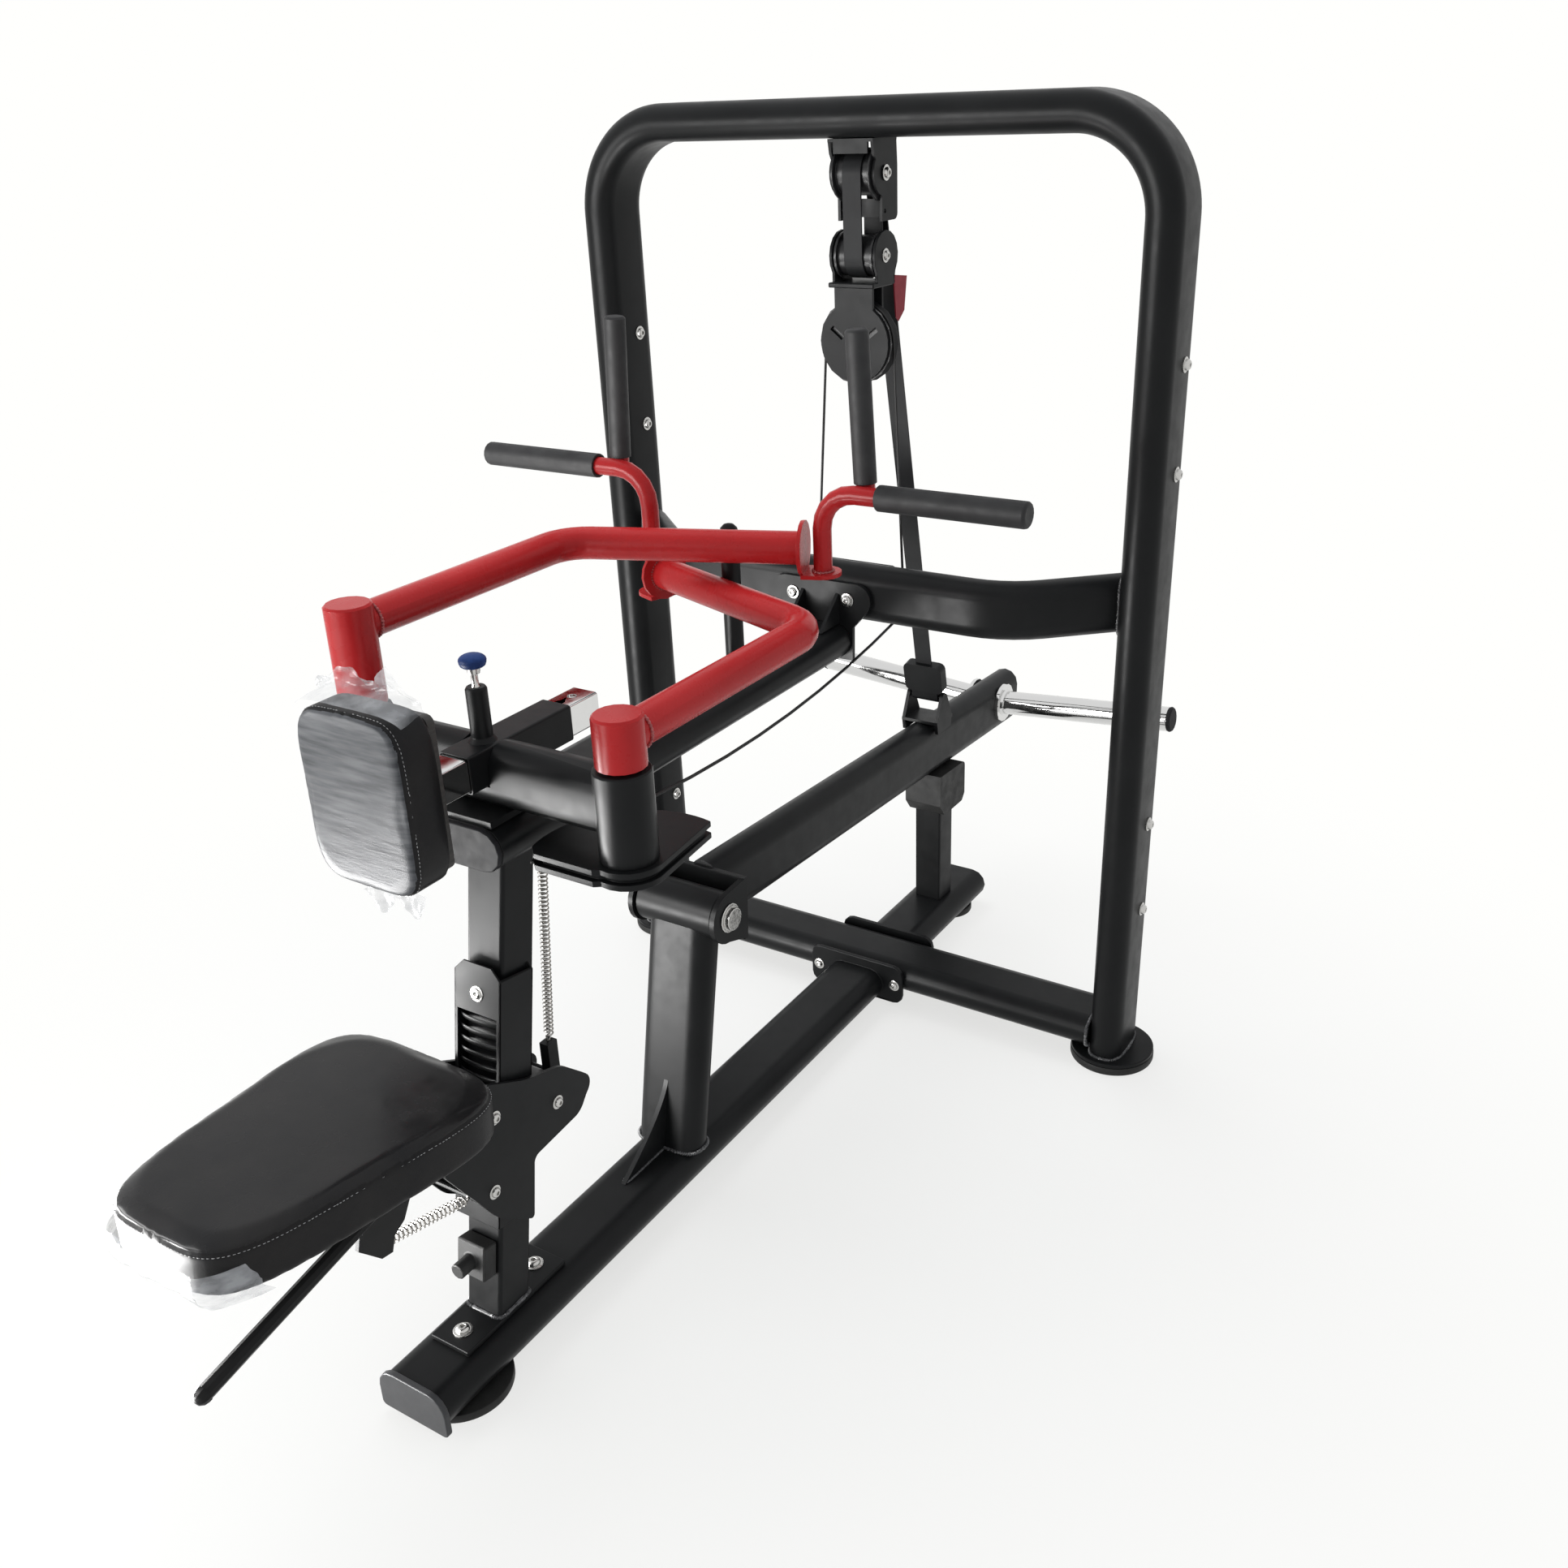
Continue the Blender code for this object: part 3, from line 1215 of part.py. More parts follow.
def pull_cable():
    """One cable from cam to cam, over the cable pulley of the floating block."""
    over = [Vector((x, CABLE_PULLEY_Y, z))
            for x, z in arc((0, CABLE_PULLEY_Z), BLOCK_CABLE_RADIUS, 0, 180, 16)]
    path = cable_half(1) + over + list(reversed(cable_half(-1)))
    return part("pull_cable", tube(path, CABLE_RADIUS, 6), black_rubber("cable_sheath"))


# Weight lever

LEVER_ANGLE = math.atan(LEVER_SLOPE)
LEVER_ALONG = Vector((0, math.cos(LEVER_ANGLE), -math.sin(LEVER_ANGLE)))
LEVER_FRAME = place((0, LEVER_PIVOT_Y, LEVER_PIVOT_Z), X_AXIS, LEVER_ALONG)
LEVER_PIVOT = (0, LEVER_PIVOT_Y, LEVER_PIVOT_Z)
FORK_OUTER = FORK_INNER + FORK_PLATE
WEB_START = 0.043
WEB_END = 0.052


def lever_tube():
    """Flat-oval lever with its welded fork: a web and two cheeks round the bearing housing."""
    middle = (WEB_END - BITE + LEVER_END) / 2
    bar = prism([oval(OVAL_SHORT, LEVER_HIGH)], LEVER_END - WEB_END + BITE,
                LEVER_FRAME @ place((0, middle, 0), X_AXIS, Z_AXIS))
    web = box((-FORK_OUTER, WEB_START, -0.058), (FORK_OUTER, WEB_END, 0.050), LEVER_FRAME)
    body = joined(bar, web)
    cheek = arc((0, 0), 0.043, 90, 270, 12) + [(WEB_END, -0.058), (WEB_END, 0.050)]
    for side in (-1, 1):
        x = side * (FORK_INNER + FORK_PLATE / 2)
        plate = prism([cheek], FORK_PLATE, LEVER_FRAME @ place((x, 0, 0), Y_AXIS, Z_AXIS))
        body = joined(body, plate)
    hole = cylinder(PIVOT_BOLT_RADIUS + GAP, (-0.1, LEVER_PIVOT_Y, LEVER_PIVOT_Z),
                    (0.1, LEVER_PIVOT_Y, LEVER_PIVOT_Z), ROUND_SIDES)
    return part("lever_tube", cut(body, hole), black_paint("lever_paint"), LEVER_PIVOT)


def lever_pivot_bolt():
    inner = FORK_OUTER + GAP
    washer = inner + 0.0025
    head = washer + 0.008
    profile = [(0, head), (0.0185, head), (0.0185, washer), (0.024, washer),
               (0.024, inner), (PIVOT_BOLT_RADIUS, inner), (PIVOT_BOLT_RADIUS, -inner), (0.024, -inner),
               (0.024, -washer), (0.0185, -washer), (0.0185, -head), (0, -head)]
    bolt = turned(profile, ROUND_SIDES, turned_along(LEVER_PIVOT, X_AXIS))
    return part("lever_pivot_bolt", bolt, polished_steel("pivot_bolt_steel"))


def horn_direction(side):
    return Vector((side * math.cos(HORN_RISE), 0, math.sin(HORN_RISE)))


def horn(name, side):
    """Plate bar for one side of the lever, rising a little outwards."""
    start = Vector((0, HORN_Y, HORN_Z))
    along = horn_direction(side)
    bar = cylinder(HORN_RADIUS, start, start + along * (OVAL_SHORT / 2 + HORN_LENGTH), ROUND_SIDES)
    root = start + Vector((side * (OVAL_SHORT / 2 + GAP), 0, 0.0025))
    flange = turned([(0, 0.012), (HORN_RADIUS + 0.001, 0.012), (HORN_RADIUS + 0.004, 0.0075),
                     (HORN_FLANGE_RADIUS, 0.0075), (HORN_FLANGE_RADIUS, 0), (0, 0)], ROUND_SIDES,
                    turned_along(root, Vector((side, 0, 0))))
    wall = side * (OVAL_SHORT / 2 + GAP)
    edges = sorted((wall, -side * 0.2))
    body = cut(joined(bar, flange), box((edges[0], HORN_Y - 0.2, 0.2), (edges[1], HORN_Y + 0.2, 0.6)))
    return part(name, body, polished_steel(name + "_chrome"))


def horn_cap(name, side):
    along = horn_direction(side)
    start = Vector((0, HORN_Y, HORN_Z)) + along * (OVAL_SHORT / 2 + HORN_LENGTH + GAP)
    thick = 0.008
    radius = HORN_RADIUS + 0.0008
    profile = [(0, thick), (radius - 0.003, thick), (radius, thick - 0.003), (radius, 0), (0, 0)]
    return part(name, turned(profile, ROUND_SIDES, turned_along(start, along)),
                black_plastic(name + "_plastic"))


CLAMP_PIN_RADIUS = 0.006
CLAMP_HALF = 0.0280
CLAMP_CHEEK_INNER = 0.033
CLAMP_CHEEK = 0.0065


def lever_belt_bracket():
    """Plate on the lever with two tapered cheeks and the pin of the belt's clamp."""
    top = LEVER_HIGH / 2 + GAP
    along = (CLAMP_PIN_Y - LEVER_PIVOT_Y) / LEVER_ALONG.y
    reach = CLAMP_CHEEK_INNER + CLAMP_CHEEK
    base = box((-reach, along - 0.036, top), (reach, along + 0.032, top + 0.006), LEVER_FRAME)
    low = CLAMP_PIN_Z - 0.068
    shape = ([(CLAMP_PIN_Y - 0.032, low + 0.024), (CLAMP_PIN_Y - 0.028, low), (CLAMP_PIN_Y + 0.028, low),
              (CLAMP_PIN_Y + 0.032, low + 0.024)] + arc((CLAMP_PIN_Y, CLAMP_PIN_Z), 0.011, 15, 165, 7))
    body = base
    for side in (-1, 1):
        x = side * (CLAMP_CHEEK_INNER + CLAMP_CHEEK / 2)
        body = joined(body, prism([shape], CLAMP_CHEEK, flat_on_yz(x)))
    pin = cylinder(CLAMP_PIN_RADIUS, (-reach, CLAMP_PIN_Y, CLAMP_PIN_Z), (reach, CLAMP_PIN_Y, CLAMP_PIN_Z),
                   SMALL_SIDES)
    return part("lever_belt_bracket", joined(body, pin), black_paint("belt_bracket_paint"))


def belt_clamp():
    """Broad block on the bracket's pin that grips the end of the belt in a slot."""
    pin = (0, CLAMP_PIN_Y, CLAMP_PIN_Z)
    up = Vector((0, -BELT_SLOPE, 1)).normalized()
    frame = place(pin, Vector((0, up.z, -up.y)), up)
    half = 0.010
    low = 0.0135
    high = 0.074
    bore = (CLAMP_PIN_RADIUS + GAP) / math.cos(math.pi / SMALL_SIDES)
    shape = arc((0, 0), half, 180, 360, 8) + [(half, low + BITE), (-half, low + BITE)]
    tongue = prism([shape, circle((0, 0), bore, SMALL_SIDES)], 2 * CLAMP_HALF, frame)
    jaws = prism([rounded_rectangle(0.041, low, high, 0.011)], 0.022, place(pin, X_AXIS, up))
    slot_half = BELT_THICK / 2 + GAP
    slot_wide = BELT_WIDTH / 2 + GAP
    slot_low = (BELT_END_Z - CLAMP_PIN_Z) * BELT_RISE - 0.0015
    slot = box((-slot_half, slot_low, -slot_wide), (slot_half, high + 0.01, slot_wide), frame)
    return part("belt_clamp", cut(joined(tongue, jaws), slot), black_paint("clamp_paint"), pin)


# Seat, its carriage and its latch

def seat_bottom(y):
    """Height of the seat pad's flat underside."""
    return SEAT_SEAM_Z - SEAT_THICK + SEAT_SLOPE * (y - SEAT_REAR)


ROLLERS = {"front_upper_roller": (-1.109, 0.422), "front_lower_roller": (-1.126, 0.307),
           "rear_roller": (-0.988, 0.368)}
LATCH_SPRING_BAR = (-1.150, 0.310)
SEAT_SPRING_BAR = (-0.9435, 0.374)
SPRING_LUG_TOP = 0.428
SPRING_BAR_RADIUS = 0.004
ROLLER_HALF = 0.030
ROLLER_AXLE = 0.0060


def roller_radius(name):
    """Radius that leaves the roller just clear of the rack or of the post's rear face."""
    y, z = ROLLERS[name]
    reach = (Vector((0, y - POST_FOOT_Y, z))).dot(POST_REARWARD)
    play = 0.0005
    if reach > 0:
        return reach - POST_SIDE / 2 - play
    return -reach - POST_SIDE / 2 - GAP - RACK_STANDOFF - RACK_SHEET - play


def roller(name):
    y, z = ROLLERS[name]
    radius = roller_radius(name)
    edge = 0.002
    profile = [(radius - edge, ROLLER_HALF), (radius, ROLLER_HALF - edge), (radius, edge - ROLLER_HALF),
               (radius - edge, -ROLLER_HALF), (ROLLER_AXLE + SHAFT_PLAY, -ROLLER_HALF),
               (ROLLER_AXLE + SHAFT_PLAY, ROLLER_HALF)]
    wheel = turned(profile, ROUND_SIDES, turned_along((0, y, z), X_AXIS), True)
    return part(name, wheel, black_plastic(name + "_plastic"), (0, y, z))


def seat_carriage():
    """Two cheeks round the post, joined by their axles and by the plate under the seat."""
    cheek_rear = SEAT_REAR + 0.0015
    bottom = seat_bottom(cheek_rear) - GAP
    cheek = ([(-1.151, 0.499), (-1.050, 0.447), (-0.977, 0.425)]
             + arc((-0.943, 0.367), 0.020, 50, -60, 5)
             + [(-0.950, 0.328), (-1.051, 0.318), (-1.067, 0.221), (-1.132, 0.271), (-1.214, 0.400),
                (-1.200, 0.440), (-1.260, seat_bottom(-1.260) - 0.010),
                (-1.260, seat_bottom(-1.260) - GAP - BITE),
                (cheek_rear, bottom - BITE), (cheek_rear, 0.495)])
    centre = CARRIAGE_INNER + CARRIAGE_PLATE / 2
    reach = CARRIAGE_INNER + CARRIAGE_PLATE
    thick = 0.005
    front = -1.440
    rear = SEAT_REAR + 0.0005
    under = [(front, seat_bottom(front) - GAP), (front, seat_bottom(front) - GAP - thick),
             (rear, seat_bottom(rear) - GAP - thick), (rear, seat_bottom(rear) - GAP)]
    body = prism([under], 0.140, flat_on_yz(0))
    for side in (-1, 1):
        body = joined(body, prism([cheek], CARRIAGE_PLATE, flat_on_yz(side * centre)))
    for y, z in ROLLERS.values():
        body = joined(body, cylinder(ROLLER_AXLE, (-reach, y, z), (reach, y, z), SMALL_SIDES))
    for y, z in (LATCH_SPRING_BAR, SEAT_SPRING_BAR):
        body = joined(body, cylinder(SPRING_BAR_RADIUS, (-reach, y, z), (reach, y, z), 8))
    lug_y, lug_z = SEAT_SPRING_BAR
    lug = box((-0.008, lug_y - 0.010, lug_z), (0.008, lug_y + 0.010, SPRING_LUG_TOP))
    pin = cylinder(0.007, (-reach, LATCH_PIN_Y, LATCH_PIN_Z), (reach, LATCH_PIN_Y, LATCH_PIN_Z), SMALL_SIDES)
    body = joined(body, lug, pin)
    return part("seat_carriage", body, black_paint("carriage_paint"), (0, CARRIAGE_Y, CARRIAGE_Z))


def seat_pad():
    slope = Vector((0, -1, -SEAT_SLOPE)).normalized()
    matrix = place((0, SEAT_REAR, seat_bottom(SEAT_REAR)), (-1, 0, 0), slope)
    pad = cushion(SEAT_FRONT_HALF, SEAT_REAR_HALF, SEAT_REAR - SEAT_FRONT, SEAT_THICK + 0.012, 0.012, matrix)
    return part("seat_pad", pad, black_vinyl("seat_vinyl"))


LATCH_PIN = (0, LATCH_PIN_Y, LATCH_PIN_Z)
LATCH_X = 0.024
SPRING_FRONT = (LATCH_X, -1.312, 0.351)
SPRING_REAR = (LATCH_X, LATCH_SPRING_BAR[0] - 0.0045, LATCH_SPRING_BAR[1])


def seat_latch_lever():
    """Latch strip between the carriage cheeks, with its long ball-ended hand bar."""
    strip = (arc((LATCH_PIN_Y, LATCH_PIN_Z), 0.014, -95, 95, 6)
             + [(-1.262, 0.437), (-1.296, 0.456), (-1.330, 0.451), (-1.351, 0.379), (-1.341, 0.368),
                (-1.319, 0.343), (-1.301, 0.340), (-1.294, 0.361), (-1.275, 0.372), (-1.259, 0.399),
                (-1.243, 0.400)])
    thick = 0.006
    plate = prism([strip], thick, flat_on_yz(LATCH_X + 0.012))
    hole = cylinder(0.0076, (-0.1, LATCH_PIN_Y, LATCH_PIN_Z), (0.1, LATCH_PIN_Y, LATCH_PIN_Z), SMALL_SIDES)
    bar_radius = 0.010
    tip_y = -1.596
    path = bent_path([(LATCH_X + 0.010, -1.310, 0.4455), (0.060, -1.316, 0.4440), (0.060, tip_y, 0.3825)],
                     0.016, 5)
    bar = tube(path, bar_radius, SMALL_SIDES)
    ball = bar_radius + 0.0008
    dome = [(ball * math.cos(math.radians(a)), ball * math.sin(math.radians(a)))
            for a in (90, 60, 30, 0)] + [(ball, -0.004), (0, -0.004)]
    end = turned(dome, SMALL_SIDES, turned_along((0.060, tip_y, 0.3825), path[-1] - path[-2]))
    eye = cylinder(0.0035, (SPRING_FRONT[0], SPRING_FRONT[1], SPRING_FRONT[2]),
                   (LATCH_X + 0.012, SPRING_FRONT[1], SPRING_FRONT[2]), 8)
    body = cut(joined(plate, bar, end, eye), hole)
    return part("seat_latch_lever", body, black_paint("latch_paint"), LATCH_PIN)


def latch_spring():
    start = Vector(SPRING_FRONT)
    end = Vector(SPRING_REAR)
    along = (end - start).normalized()
    spring = coil("latch_spring", start + along * 0.005, end - along * 0.0012, 0.0065, 0.0011, 14)
    return part("latch_spring", spring, polished_steel("latch_spring_steel"))


def counterbalance_spring():
    """Long spring from the beam down to the rear of the seat carriage."""
    wire = 0.0011
    low = (0, SEAT_SPRING_BAR[0] + 0.002, SPRING_LUG_TOP + GAP + 2 * wire)
    high = (0, -0.906, BEAM_LOW - GAP - 2 * wire)
    spring = coil("counterbalance_spring", high, low, 0.0060, wire, 24)
    return part("counterbalance_spring", spring, dull_steel("seat_spring_steel"))


# Assembly

def joint_empty(name, position, parent):
    empty = bpy.data.objects.new(name, None)
    empty.empty_display_size = 0.05
    PARTS.objects.link(empty)
    empty.location = position
    if parent is not None:
        empty.parent = parent
        empty.matrix_parent_inverse = parent_shift(parent)
    return empty


def parent_shift(parent):
    """Inverse of the parent's place in the arch frame, so children keep arch coordinates."""
    if parent.name == MACHINE.name:
        return Matrix.Identity(4)
    return Matrix.Translation(-parent.location)


def hold(parent, *objects):
    for obj in objects:
        obj.parent = parent
        obj.matrix_parent_inverse = parent_shift(parent)


MACHINE = joint_empty("machine_middle", (0, ARCH_FORWARD, 0), None)

hold(MACHINE, arch_frame(), floor_cross_tube(), base_tube(), base_end_cap(), rear_stub_tube())
hold(MACHINE, foot_disc("left_foot", -ARCH_HALF, 0, FOOT_RADIUS, FOOT_THICK),
     foot_disc("right_foot", ARCH_HALF, 0, FOOT_RADIUS, FOOT_THICK),
     foot_disc("front_foot", 0, FRONT_FOOT_Y, FRONT_FOOT_RADIUS, LOW_FOOT_THICK),
     foot_disc("rear_foot", 0, REAR_FOOT_Y, REAR_FOOT_RADIUS, LOW_FOOT_THICK))
hold(MACHINE, rubber_bumper(), middle_post(), seat_post(), seat_rack(), seat_stop())
hold(MACHINE, upper_beam(), beam_end_cap(), crossbar(), beam_bracket(), guide_pulley_bracket())
hold(MACHINE, pivot_yoke(), chest_sleeve(), pulley_bracket(), belt(), pull_cable(), counterbalance_spring())

PIN_AXIS = joint_empty("pop_pin_axis", (0, PIN_Y, CHEST_TUBE_TOP), MACHINE)
hold(PIN_AXIS, pop_pin())
CHEST_AXIS = joint_empty("chest_slide_axis", (0, PIN_Y, CHEST_TUBE_Z), MACHINE)
hold(CHEST_AXIS, chest_tube(), chest_pad_board(), chest_pad())

for side, word, arm_height in ((-1, "left", LEFT_ARM_Z), (1, "right", RIGHT_ARM_Z)):
    axis = joint_empty(word + "_arm_axis", (side * PIVOT_X, PIVOT_Y, arm_height), MACHINE)
    hold(axis, arm(word + "_arm", side, arm_height), handle(word + "_handle", -side, arm_height),
         outer_grip(word + "_outer_grip", -side), upright_grip(word + "_upright_grip", -side),
         cam(word + "_cam", side, arm_height))
    guide = joint_empty(word + "_guide_axis", (side * GUIDE_X, GUIDE_Y, GUIDE_Z), MACHINE)
    hold(guide, guide_pulley(word + "_guide_pulley", side))

UPPER_AXIS = joint_empty("upper_pulley_axis", (0, 0, UPPER_PULLEY_Z), MACHINE)
hold(UPPER_AXIS, belt_pulley("upper_belt_pulley", UPPER_PULLEY_Z, UPPER_DRUM_RADIUS, UPPER_FLANGE_RADIUS))
BLOCK_AXIS = joint_empty("block_axis", (0, 0, LOWER_PULLEY_Z), MACHINE)
hold(BLOCK_AXIS, floating_block(), cable_pulley(),
     belt_pulley("lower_belt_pulley", LOWER_PULLEY_Z, LOWER_DRUM_RADIUS, LOWER_FLANGE_RADIUS))

LEVER_AXIS = joint_empty("lever_axis", LEVER_PIVOT, MACHINE)
hold(LEVER_AXIS, lever_tube(), lever_pivot_bolt(), lever_belt_bracket(), belt_clamp())
for side, word in ((-1, "left"), (1, "right")):
    hold(LEVER_AXIS, horn(word + "_horn", side), horn_cap(word + "_horn_cap", side))

SEAT_AXIS = joint_empty("seat_axis", (0, CARRIAGE_Y, CARRIAGE_Z), MACHINE)
hold(SEAT_AXIS, seat_carriage(), seat_pad(), seat_latch_lever(), latch_spring())
hold(SEAT_AXIS, *[roller(name) for name in ROLLERS])
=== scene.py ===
"""Rear deltoid machine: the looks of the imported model, piece by piece as it is put together."""
import json
import math

import bmesh
import bpy
import numpy as np
from mathutils import Matrix, Vector
from mathutils.bvhtree import BVHTree


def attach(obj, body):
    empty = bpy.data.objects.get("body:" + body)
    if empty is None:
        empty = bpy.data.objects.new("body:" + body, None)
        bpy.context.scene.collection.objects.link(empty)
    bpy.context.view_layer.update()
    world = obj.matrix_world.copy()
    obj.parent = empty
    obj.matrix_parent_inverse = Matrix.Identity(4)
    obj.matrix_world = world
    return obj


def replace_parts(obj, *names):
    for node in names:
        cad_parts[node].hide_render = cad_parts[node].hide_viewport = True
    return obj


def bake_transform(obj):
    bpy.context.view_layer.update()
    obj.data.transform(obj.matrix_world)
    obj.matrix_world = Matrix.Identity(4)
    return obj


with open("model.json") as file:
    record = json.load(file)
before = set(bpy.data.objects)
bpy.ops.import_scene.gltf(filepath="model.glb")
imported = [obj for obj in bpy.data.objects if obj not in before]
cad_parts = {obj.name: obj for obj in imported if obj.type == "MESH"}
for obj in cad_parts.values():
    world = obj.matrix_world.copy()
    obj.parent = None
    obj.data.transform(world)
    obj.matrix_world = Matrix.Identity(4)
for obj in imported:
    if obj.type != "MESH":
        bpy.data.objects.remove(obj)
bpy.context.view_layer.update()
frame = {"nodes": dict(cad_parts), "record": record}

# Arch plane of the machine. Every place below is given from it and from the middle of the machine:
# X to the user's right, Y the way the user faces, Z up from the floor, in metres.
ARCH = Vector((0, 0.498, 0))


# ---- Studio: white floor and sweep, four soft lamps, and the camera where the photographer stood ----

def in_scene(name, data):
    """New object with the given data, linked to the scene."""
    piece = bpy.data.objects.new(name, data)
    bpy.context.scene.collection.objects.link(piece)
    return piece


def camera_at_photo():
    """Camera by its azimuth, tilt and roll, each in degrees, and its place from the arch plane."""
    azimuth, tilt, roll = math.radians(33.2294), math.radians(25.0442), math.radians(-2.3331)
    ahead = Vector((-math.sin(azimuth) * math.cos(tilt), math.cos(azimuth) * math.cos(tilt), -math.sin(tilt)))
    right = Vector((math.cos(azimuth), math.sin(azimuth), 0))
    up = right.cross(ahead)
    across = right * math.cos(roll) + up * math.sin(roll)
    upright = up * math.cos(roll) - right * math.sin(roll)
    data = bpy.data.cameras.new("photo_camera")
    data.lens = 1826.433 / 1932 * 36
    data.sensor_width = 36
    data.clip_end = 80
    camera = in_scene("photo_camera", data)
    matrix = Matrix((across, upright, -ahead)).transposed().to_4x4()
    matrix.translation = Vector((1.26372, -2.23061, 1.64405)) + ARCH
    camera.matrix_world = matrix
    bpy.context.scene.camera = camera


def soft_lamp(name, place, aim, wide, high, watts, colour, on_matt=True, in_gloss=True):
    """Rectangular lamp at a place, turned to face a point, and not itself seen."""
    data = bpy.data.lights.new(name, "AREA")
    data.shape = "RECTANGLE"
    data.size = wide
    data.size_y = high
    data.energy = watts
    data.color = colour
    lamp = in_scene(name, data)
    lamp.location = Vector(place) + ARCH
    lamp.rotation_euler = (Vector(aim) - Vector(place)).to_track_quat("-Z", "Y").to_euler()
    lamp.visible_camera = False
    lamp.visible_diffuse = on_matt
    lamp.visible_glossy = in_gloss


def maths(nodes, links, operation, first, second):
    """Result of a Math node on two values."""
    step = nodes.new("ShaderNodeMath")
    step.operation = operation
    links.new(first, step.inputs[0])
    links.new(second, step.inputs[1])
    return step.outputs[0]


def mapped(nodes, links, value, *span, way="LINEAR"):
    """Value mapped from one range to another; the span gives both ranges' ends."""
    ranged = nodes.new("ShaderNodeMapRange")
    ranged.interpolation_type = way
    for socket, amount in zip(("From Min", "From Max", "To Min", "To Max"), span):
        ranged.inputs[socket].default_value = amount
    links.new(value, ranged.inputs["Value"])
    return ranged.outputs["Result"]


def mixed(nodes, links, share, first, second):
    """Shader that goes from the first to the second with the share."""
    mix = nodes.new("ShaderNodeMixShader")
    for source, socket in zip((share, first, second), mix.inputs):
        links.new(source, socket)
    return mix.outputs[0]


def white_where_seen(nodes, links):
    """1 for rays from the camera and for mirrored and refracted rays, 0 for the light itself."""
    rays = nodes.new("ShaderNodeLightPath")
    seen = rays.outputs["Is Camera Ray"]
    for kind in ("Is Glossy Ray", "Is Transmission Ray"):
        seen = maths(nodes, links, "MAXIMUM", seen, rays.outputs[kind])
    return seen


camera_at_photo()
bpy.context.scene.view_settings.view_transform = "Standard"
WARM = (1.0, 0.997, 0.99)
soft_lamp("front_window", (-1.15, -2.75, 0.55), (0, -0.7, 0.75), 1.7, 0.95, 36, (1.0, 0.995, 0.98), in_gloss=False)
soft_lamp("low_reflector", (-0.64, -1.70, 0.20), (0, -1.0, 0.42), 1.05, 0.38, 54, WARM, on_matt=False)
soft_lamp("high_reflector", (-1.05, -2.25, 1.25), (0, -0.4, 1.2), 1.5, 0.80, 60, WARM, on_matt=False)
soft_lamp("ceiling_panel", (-1.0, 0.3, 3.3), (0, -0.3, 0.6), 2.6, 2.2, 62, (0.98, 0.99, 1.0), in_gloss=False)

world = bpy.data.worlds.new("studio")
bpy.context.scene.world = world
world.use_nodes = True
nodes, links = world.node_tree.nodes, world.node_tree.links
nodes.clear()
sky = []
for colour, strength in (((0.93, 0.96, 1.0, 1), 0.55), ((1, 1, 1, 1), 1)):
    light = nodes.new("ShaderNodeBackground")
    light.inputs["Color"].default_value = colour
    light.inputs["Strength"].default_value = strength
    sky.append(light.outputs[0])
world_out = nodes.new("ShaderNodeOutputWorld")
links.new(mixed(nodes, links, white_where_seen(nodes, links), *sky), world_out.inputs[0])


def floor_sheet(half, rise, bend):
    """Square floor on a grid: height 0 within the bend's distance, then rising as the square past it."""
    steps = np.linspace(-1, 1, 61)
    across = np.sign(steps) * np.abs(steps) ** 1.8 * half
    x, y = np.meshgrid(across, across)
    away = np.clip((np.hypot(x, y) - bend) / (half - bend), 0, None)
    z = rise * away ** 2
    verts = np.stack([x.ravel(), y.ravel(), z.ravel()], 1)
    i, j = np.meshgrid(np.arange(60), np.arange(60))
    a = (i + 61 * j).ravel()
    return verts, np.stack([a, a + 1, a + 62, a + 61], 1)


def mesh_piece(name, verts, faces, smooth=True):
    """New object at the origin from arrays of points and of faces."""
    mesh = bpy.data.meshes.new(name)
    mesh.from_pydata([tuple(v) for v in np.asarray(verts, float).tolist()], [], [tuple(f) for f in faces])
    mesh.polygons.foreach_set("use_smooth", np.full(len(mesh.polygons), smooth))
    mesh.update()
    return in_scene(name, mesh)


def new_finish(name, colour, roughness, metallic=0.0):
    """Material with its Principled shader, and its node tree to add to."""
    material = bpy.data.materials.new(name)
    material.use_nodes = True
    shader = material.node_tree.nodes["Principled BSDF"]
    shader.inputs["Base Color"].default_value = (*colour, 1)
    shader.inputs["Roughness"].default_value = roughness
    shader.inputs["Metallic"].default_value = metallic
    return material, material.node_tree.nodes, material.node_tree.links, shader


floor = mesh_piece("studio_floor", *floor_sheet(40.0, 9.0, 12.0))
floor_white, nodes, links, shader = new_finish("floor_white", (0.9, 0.9, 0.89), 0.75)
shader.inputs["Specular IOR Level"].default_value = 0.15
glow = nodes.new("ShaderNodeEmission")
glow.inputs["Color"].default_value = (1, 1, 0.985, 1)
place = nodes.new("ShaderNodeTexCoord")
away = nodes.new("ShaderNodeVectorMath")
away.operation = "LENGTH"
links.new(place.outputs["Object"], away.inputs[0])
fade = mapped(nodes, links, away.outputs["Value"], 0.3, 2.0, 0.68, 1.0, way="SMOOTHSTEP")
whiten = maths(nodes, links, "MULTIPLY", white_where_seen(nodes, links), fade)
both = mixed(nodes, links, whiten, shader.outputs[0], glow.outputs[0])
links.new(both, nodes["Material Output"].inputs["Surface"])
floor.data.materials.append(floor_white)


# ---- Black frame: arch, crossbar, floor tubes, posts, beam, brackets, lever and seat carriage ----
# Flat-sided oval steel tube and laser-cut plate, welded, then sprayed with black powder paint and
# baked, which leaves a satin skin with a fine orange peel and softened edges.

